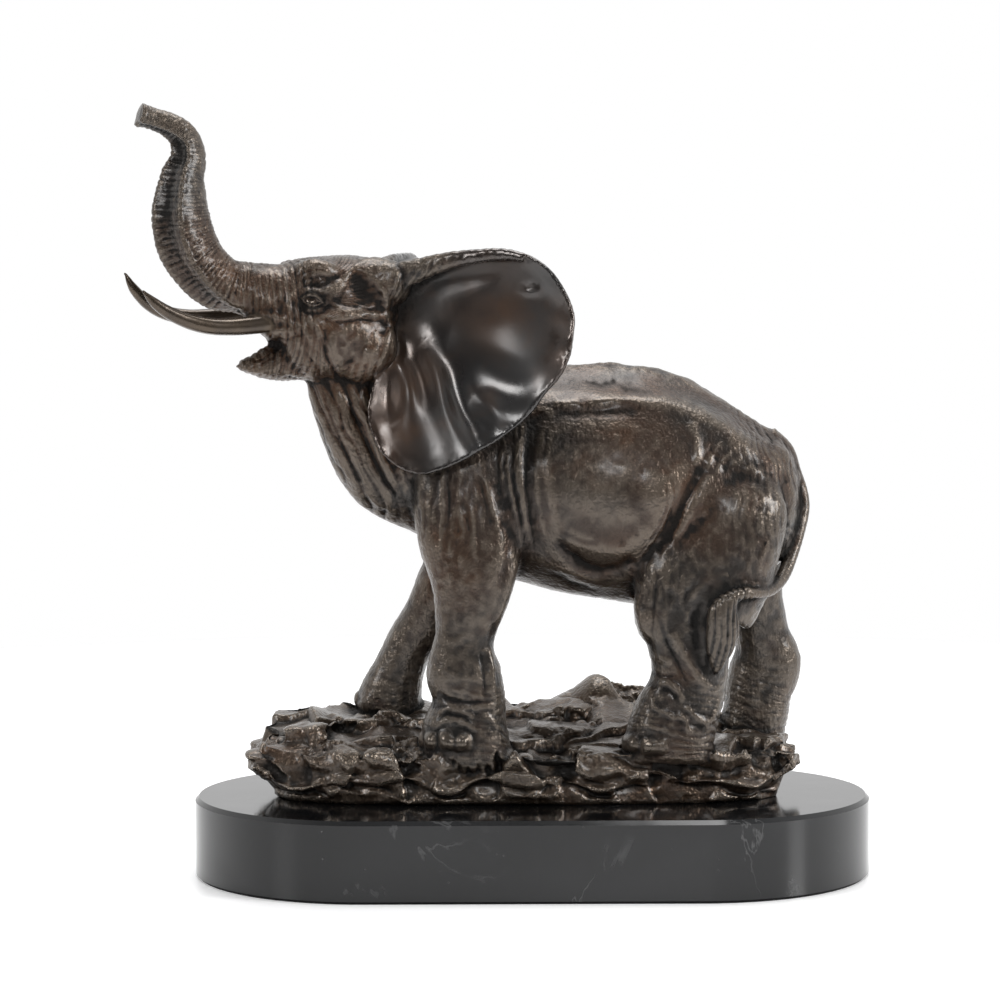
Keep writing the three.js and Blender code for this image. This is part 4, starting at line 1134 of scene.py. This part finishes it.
    phases = np.stack([
        s.along / 1.4 + 0.3 * wander,
        forward / 1.5 + 0.5 * wander,
        turn * 15 + 1.2 * wander,
        slant / PIXELS_PER_MM / 1.5 + wander,
        (s.p[:, 0] + 0.42 * s.p[:, 2]) / 2.2 + wander,
        s.p[:, 2] / 1.7 + 1.6 * wander,
        view[:, 0] / PIXELS_PER_MM / 1.9 + 1.8 * wander,
        s.p[:, 0] / 1.6 - s.p[:, 2] * 0.05 + 1.5 * wander,
        s.p[:, 0] / 1.8 + s.p[:, 2] * 0.06 + 1.5 * wander,
    ])
    ranked = np.sort(weights, 0)
    chosen = weights.argmax(0)
    depth = np.clip((ranked[-1] - ranked[-2]) * 2, 0, 1) * np.clip(ranked[-1] * 1.3, 0, 1)
    mark(casting, "fold_phase", np.take_along_axis(phases, chosen[None], 0)[0])
    mark(casting, "fold_depth", depth * (1 - np.clip(rock * 3, 0, 1)) * (1 - 0.9 * cheek * head))
    tilt = math.radians(12)
    from_eye = (view - np.array([312.0, 300.0])) / PIXELS_PER_MM
    by_eye = headed & (np.hypot(from_eye[:, 0], from_eye[:, 1]) < 12) & (facing > 0.15)
    across = from_eye[:, 0] * math.cos(tilt) + from_eye[:, 1] * math.sin(tilt)
    upward = from_eye[:, 0] * math.sin(tilt) - from_eye[:, 1] * math.cos(tilt)
    mark(casting, "eye_across", np.where(by_eye, across, 50))
    mark(casting, "eye_up", np.where(by_eye, upward, 50))
    mark(casting, "nail", nails * feet * facing)
    mark(casting, "tusk", s.mask("tusk", rounds=3))
    mark(casting, "rock", rock)


def mark(obj, name, values):
    layer = obj.data.attributes.new(name, "FLOAT", "POINT")
    layer.data.foreach_set("value", np.asarray(values, np.float32))


def mark_cavities(obj):
    """How far each point stands above or below the surface round it, in millimetres."""
    net = Net(obj.data)
    p = places(obj)
    n = np.empty(len(p) * 3, np.float32)
    obj.data.vertices.foreach_get("normal", n)
    near = ((p - net.blur(p, 3)) * n.reshape(-1, 3)).sum(1)
    wide = ((p - net.blur(p, 12)) * n.reshape(-1, 3)).sum(1)
    mark(obj, "cavity", np.clip(net.blur(near * 1.6 + wide * 0.5, 1), -2, 2))


# Finishes. A socket is wrapped so that shader maths reads as plain expressions.


class Value:
    def __init__(self, finish, socket):
        self.finish = finish
        self.socket = socket

    def maths(self, operation, *others, flip=False, clamp=False):
        sides = [self, *others]
        if flip:
            sides.reverse()
        settings = {"operation": operation, "use_clamp": clamp}
        return self.finish.node("ShaderNodeMath", settings, dict(enumerate(sides)))

    def __add__(self, other):
        return self.maths("ADD", other)

    def __radd__(self, other):
        return self.maths("ADD", other)

    def __sub__(self, other):
        return self.maths("SUBTRACT", other)

    def __rsub__(self, other):
        return self.maths("SUBTRACT", other, flip=True)

    def __mul__(self, other):
        return self.maths("MULTIPLY", other)

    def __rmul__(self, other):
        return self.maths("MULTIPLY", other)

    def __pow__(self, other):
        return self.maths("POWER", other)

    def __abs__(self):
        return self.maths("ABSOLUTE")

    def between(self, low, high, to_low=0.0, to_high=1.0):
        settings = {"interpolation_type": "SMOOTHSTEP"}
        inputs = {"Value": self, "From Min": low, "From Max": high, "To Min": to_low, "To Max": to_high}
        return self.finish.node("ShaderNodeMapRange", settings, inputs)


class Finish:
    """A material with its surface shader, and one way to add nodes to it."""

    def __init__(self, name):
        self.material = bpy.data.materials.new(name)
        self.material.use_nodes = True
        self.tree = self.material.node_tree
        self.surface = self.tree.nodes["Principled BSDF"]
        self.place = self.node("ShaderNodeTexCoord", {}, {}, "Object")

    def put(self, socket, value):
        if isinstance(value, Value):
            self.tree.links.new(value.socket, socket)
        elif isinstance(value, tuple) and len(value) == 3 and socket.type == "RGBA":
            socket.default_value = (*value, 1)
        else:
            socket.default_value = value

    def node(self, kind, settings, inputs, output=0):
        node = self.tree.nodes.new(kind)
        for name, value in settings.items():
            setattr(node, name, value)
        for key, value in inputs.items():
            self.put(node.inputs[key], value)
        return Value(self, node.outputs[output])

    def attribute(self, name):
        return self.node("ShaderNodeAttribute", {"attribute_name": name}, {}, "Fac")

    def stretched(self, x, y, z, turn=(0, 0, 0)):
        inputs = {"Vector": self.place, "Rotation": tuple(math.radians(a) for a in turn), "Scale": (x, y, z)}
        return self.node("ShaderNodeMapping", {}, inputs)

    def noise(self, vector, scale, detail=2.0, roughness=0.5, distortion=0.0):
        inputs = {
            "Vector": vector, "Scale": scale, "Detail": detail, "Roughness": roughness,
            "Distortion": distortion,
        }
        return self.node("ShaderNodeTexNoise", {}, inputs, "Fac")

    def cells(self, vector, scale):
        inputs = {"Vector": vector, "Scale": scale}
        return self.node("ShaderNodeTexVoronoi", {"feature": "F1"}, inputs, "Distance")

    def mix(self, factor, first, second):
        inputs = {"Factor": factor, 6: first, 7: second}
        return self.node("ShaderNodeMix", {"data_type": "RGBA"}, inputs, 2)

    def bump(self, height, distance, strength):
        inputs = {"Height": height, "Distance": distance, "Strength": strength}
        return self.node("ShaderNodeBump", {}, inputs)

    def set(self, **inputs):
        for name, value in inputs.items():
            self.put(self.surface.inputs[name.replace("_", " ").title()], value)


def bronze_finish():
    f = Finish("bronze")
    f.surface.inputs["IOR"].default_value = 1.5
    f.surface.inputs["Coat Roughness"].default_value = 0.24
    ear = f.attribute("ear")
    tusk = f.attribute("tusk")
    rock = f.attribute("rock")
    cavity = f.attribute("cavity") * (1 - rock * 0.55)
    nail = f.attribute("nail")
    broad = f.noise(f.place, 16, 2, 0.55)
    mottle = f.noise(f.place, 70, 2, 0.6)
    fine = f.noise(f.place, 420, 1, 0.6)
    across = f.attribute("eye_across") * (1 / 3.6)
    almond = across * across + abs(f.attribute("eye_up")) * (1 / 1.45)
    eyeball = almond.between(1.0, 0.82)
    lids = almond.between(0.95, 1.15) * almond.between(1.8, 1.35)
    rim = almond.between(0.8, 0.95) * almond.between(1.1, 1.0)
    socket = almond.between(1.5, 1.9) * almond.between(3.0, 2.2) + rim
    polished = ear.maths("MAXIMUM", tusk).maths("MAXIMUM", eyeball).maths("MAXIMUM", nail)
    skin = 1 - polished

    # Patina: brown black in the hollows, warmer where hands and cloth have rubbed it.
    phase = f.attribute("fold_phase") + mottle * 1.5
    folds = abs((phase * math.pi).maths("SINE")) ** 0.55
    patchy = f.noise(f.place, 110, 1).between(0.36, 0.62, 0.1, 1.0)
    depth = f.attribute("fold_depth") * patchy * broad.between(0.3, 0.6, 0.5, 1.0)
    raised = cavity.between(0.0, 0.35).maths("MAXIMUM", lids * 0.45).maths("MAXIMUM", nail * 0.8)
    sunk = cavity.between(0.0, -0.34) * (1 - lids) * (1 - nail) + depth * (1 - folds) * 0.5 + socket * 0.9
    warm = (broad.between(0.42, 0.68) * 0.55 + mottle.between(0.45, 0.8) * 0.35) * (1 - rock * 0.3)
    dull = f.mix(rock, (0.02, 0.0158, 0.0128), (0.062, 0.044, 0.03))
    brown = f.mix(warm, dull, (0.07, 0.031, 0.012))
    rubbed = f.mix(raised * (0.55 + rock * 0.25), brown, (0.135, 0.108, 0.083))
    dark = f.mix(sunk.maths("MINIMUM", 1.0) * 0.92, rubbed, (0.005, 0.0045, 0.004))
    ear_brown = f.mix(warm, (0.025, 0.023, 0.022), (0.058, 0.028, 0.013))
    eared = f.mix(ear, dark, ear_brown)
    horn = f.mix(mottle.between(0.35, 0.7), (0.07, 0.05, 0.033), (0.042, 0.03, 0.021))
    f.set(base_color=f.mix(tusk, eared, horn), metallic=0.7)
    shine = ear * 0.1 + tusk * 0.1 + eyeball * 0.1 + raised * 0.06 + rock * 0.1 + nail * 0.08
    rough = 0.33 + mottle * 0.14 + fine * 0.06 - shine + sunk * 0.2
    f.set(roughness=rough, coat_weight=(0.4 + ear * 0.5 + rock * 0.2 - sunk * 0.5).maths("MAXIMUM", 0.0))

    # Pebbles, fine creases, wrinkles and the lids of the eye.
    pebbles = f.noise(f.place, 680, 1)
    hairline = f.noise(f.stretched(1, 1, 0.3, (0, 25, 0)), 620, 1)
    crossed = f.noise(f.stretched(1, 1, 0.3, (0, -50, 0)), 620, 1)
    wrinkled = pebbles * 0.9 + hairline * 0.5 + crossed * 0.5 + depth * folds * 0.45
    height = wrinkled * skin + lids * 1.5 + eyeball * 0.4 - socket * 0.8
    f.set(normal=f.bump(height + polished * fine * 0.06, 0.0006, 0.9))
    return f.material


def marble_finish():
    f = Finish("marble")
    f.surface.inputs["IOR"].default_value = 1.49
    drift = f.noise(f.place, 9, 4, 0.6, 0.8)
    vein = f.noise(f.stretched(1, 1.3, 0.8, (0, 20, 30)), 11, 5, 0.62, 1.4)
    thin = abs(vein - 0.5).between(0.012, 0.0) * drift.between(0.45, 0.65)
    speck = f.cells(f.place, 230).between(0.1, 0.03) * f.noise(f.place, 60, 1).between(0.55, 0.7)
    ground = f.mix(drift.between(0.35, 0.75), (0.003, 0.0031, 0.0034), (0.009, 0.0093, 0.0102))
    veined = f.mix(thin * 0.35, ground, (0.16, 0.16, 0.16))
    f.set(base_color=f.mix(speck * 0.5, veined, (0.25, 0.25, 0.24)), roughness=0.07 + drift * 0.05)
    ripple = f.noise(f.place, 35, 2)
    f.set(normal=f.bump(ripple, 0.0006, 0.12))
    return f.material


def felt_finish():
    f = Finish("felt")
    fibre = f.noise(f.stretched(1, 1, 3), 1600, 3, 0.7, 1.5)
    f.set(base_color=f.mix(fibre, (0.006, 0.006, 0.0065), (0.022, 0.022, 0.023)), roughness=0.95)
    f.set(normal=f.bump(fibre, 0.0006, 0.8))
    return f.material


def pale_finish():
    f = Finish("pale_floor")
    soft = f.noise(f.place, 3, 2)
    f.set(base_color=f.mix(soft, (0.86, 0.86, 0.865), (0.89, 0.89, 0.89)), roughness=0.3)
    f.set(emission_color=(1.0, 1.0, 1.0), emission_strength=0.22)
    return f.material


# Studio.


def softbox(name, where, target, width, height, watts):
    light = bpy.data.lights.new(name, "AREA")
    light.shape = "RECTANGLE"
    light.size = width
    light.size_y = height
    light.energy = watts
    obj = bpy.data.objects.new(name, light)
    bpy.context.collection.objects.link(obj)
    obj.location = where
    obj.rotation_euler = (Vector(target) - Vector(where)).to_track_quat("-Z", "Y").to_euler()


def studio():
    softbox("top_light", (0.05, 0.1, 1.2), (0, 0, 0.1), 0.8, 0.6, 10)
    softbox("left_light", (-1.1, -0.75, 0.75), (0, 0, 0.13), 0.3, 0.5, 7)
    softbox("right_light", (1.15, -0.5, 0.6), (0, 0, 0.13), 0.25, 0.5, 11)
    softbox("front_light", (0.15, -1.5, 0.85), (0, 0, 0.15), 0.2, 0.2, 5)
    world = bpy.data.worlds.new("studio")
    bpy.context.scene.world = world
    world.use_nodes = True
    tree = world.node_tree
    shade = tree.nodes["Background"]
    shade.inputs["Color"].default_value = (0.9, 0.93, 1, 1)
    shade.inputs["Strength"].default_value = 1.0
    where = tree.nodes.new("ShaderNodeTexCoord")
    split = tree.nodes.new("ShaderNodeSeparateXYZ")
    fall = tree.nodes.new("ShaderNodeValToRGB")
    fall.color_ramp.elements[0].position = 0.3
    fall.color_ramp.elements[0].color = (0.06, 0.063, 0.07, 1)
    fall.color_ramp.elements[1].position = 0.62
    fall.color_ramp.elements[1].color = (1.0, 1.0, 1.0, 1)
    shift = tree.nodes.new("ShaderNodeMath")
    shift.operation = "MULTIPLY_ADD"
    shift.inputs[1].default_value = 0.5
    shift.inputs[2].default_value = 0.5
    tree.links.new(where.outputs["Generated"], split.inputs[0])
    tree.links.new(split.outputs["Y"], shift.inputs[0])
    tree.links.new(shift.outputs[0], fall.inputs[0])
    tree.links.new(fall.outputs[0], shade.inputs["Color"])
    seen = tree.nodes.new("ShaderNodeBackground")
    seen.inputs["Color"].default_value = (1, 1, 1, 1)
    seen.inputs["Strength"].default_value = 1.0
    path = tree.nodes.new("ShaderNodeLightPath")
    pick = tree.nodes.new("ShaderNodeMixShader")
    tree.links.new(path.outputs["Is Camera Ray"], pick.inputs[0])
    tree.links.new(shade.outputs[0], pick.inputs[1])
    tree.links.new(seen.outputs[0], pick.inputs[2])
    tree.links.new(pick.outputs[0], tree.nodes["World Output"].inputs["Surface"])
    bpy.context.scene.view_settings.view_transform = "Standard"


def backdrop():
    bpy.ops.object.select_all(action="DESELECT")
    bpy.ops.mesh.primitive_circle_add(vertices=96, radius=0.85, fill_type="NGON", location=(0, 0, 0))
    floor = bpy.context.active_object
    floor.name = "floor"
    floor.data.materials.append(pale_finish())


VOXEL = 0.00068
CASTING_TRIANGLES = 196000

forms = all_forms()
casting = join_forms(forms, "elephant_casting")
only(casting)
casting.data.remesh_voxel_size = VOXEL
bpy.ops.object.voxel_remesh()
carve(casting, forms)
only(casting)
bpy.ops.object.shade_smooth()
faces = len(casting.data.polygons) * 2
thin = casting.modifiers.new("thin", "DECIMATE")
thin.ratio = min(1, CASTING_TRIANGLES / faces)
thin.use_collapse_triangulate = True
bpy.ops.object.modifier_apply(modifier="thin")
mark_cavities(casting)
casting.data.materials.clear()
casting.data.materials.append(bronze_finish())
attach(casting, "root")
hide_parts("bronze_elephant")


SLAB_SIDES = 128
SLAB_STRAIGHT = 0.126


def slab(name, radius, low, high, chamfer, finish):
    """A slab with straight long sides and half round ends, drawn from a cylinder."""
    bpy.ops.object.select_all(action="DESELECT")
    turn = math.pi / SLAB_SIDES
    bpy.ops.mesh.primitive_cylinder_add(
        vertices=SLAB_SIDES, radius=radius, depth=high - low, location=(0, 0, (high + low) / 2),
        rotation=(0, 0, turn),
    )
    bpy.ops.object.transform_apply(location=True, rotation=True, scale=True)
    piece = bpy.context.active_object
    piece.name = name
    for vertex in piece.data.vertices:
        vertex.co.x += math.copysign(SLAB_STRAIGHT / 2, vertex.co.x)
    for edge in piece.data.edges:
        edge.select = False
    for vertex in piece.data.vertices:
        vertex.select = False
    for face in piece.data.polygons:
        face.select = face.normal.z > 0.9
    bpy.ops.object.mode_set(mode="EDIT")
    bpy.ops.mesh.select_mode(type="FACE")
    bpy.ops.mesh.bevel(offset=chamfer, offset_type="WIDTH", segments=1, affect="EDGES")
    bpy.ops.object.mode_set(mode="OBJECT")
    bpy.ops.object.shade_smooth_by_angle(angle=math.radians(24))
    piece.data.materials.clear()
    piece.data.materials.append(finish)
    return piece


plinth = slab("polished_plinth", 0.069, 0.0011, 0.0311, 0.0022, marble_finish())
pad = slab("felt_under_plinth", 0.0678, 0, 0.001, 0.0002, felt_finish())
for piece, node, slot in ((plinth, "marble_plinth", "marble"), (pad, "felt_pad", "felt")):
    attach(piece, "root")
    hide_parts(node)

backdrop()
studio()
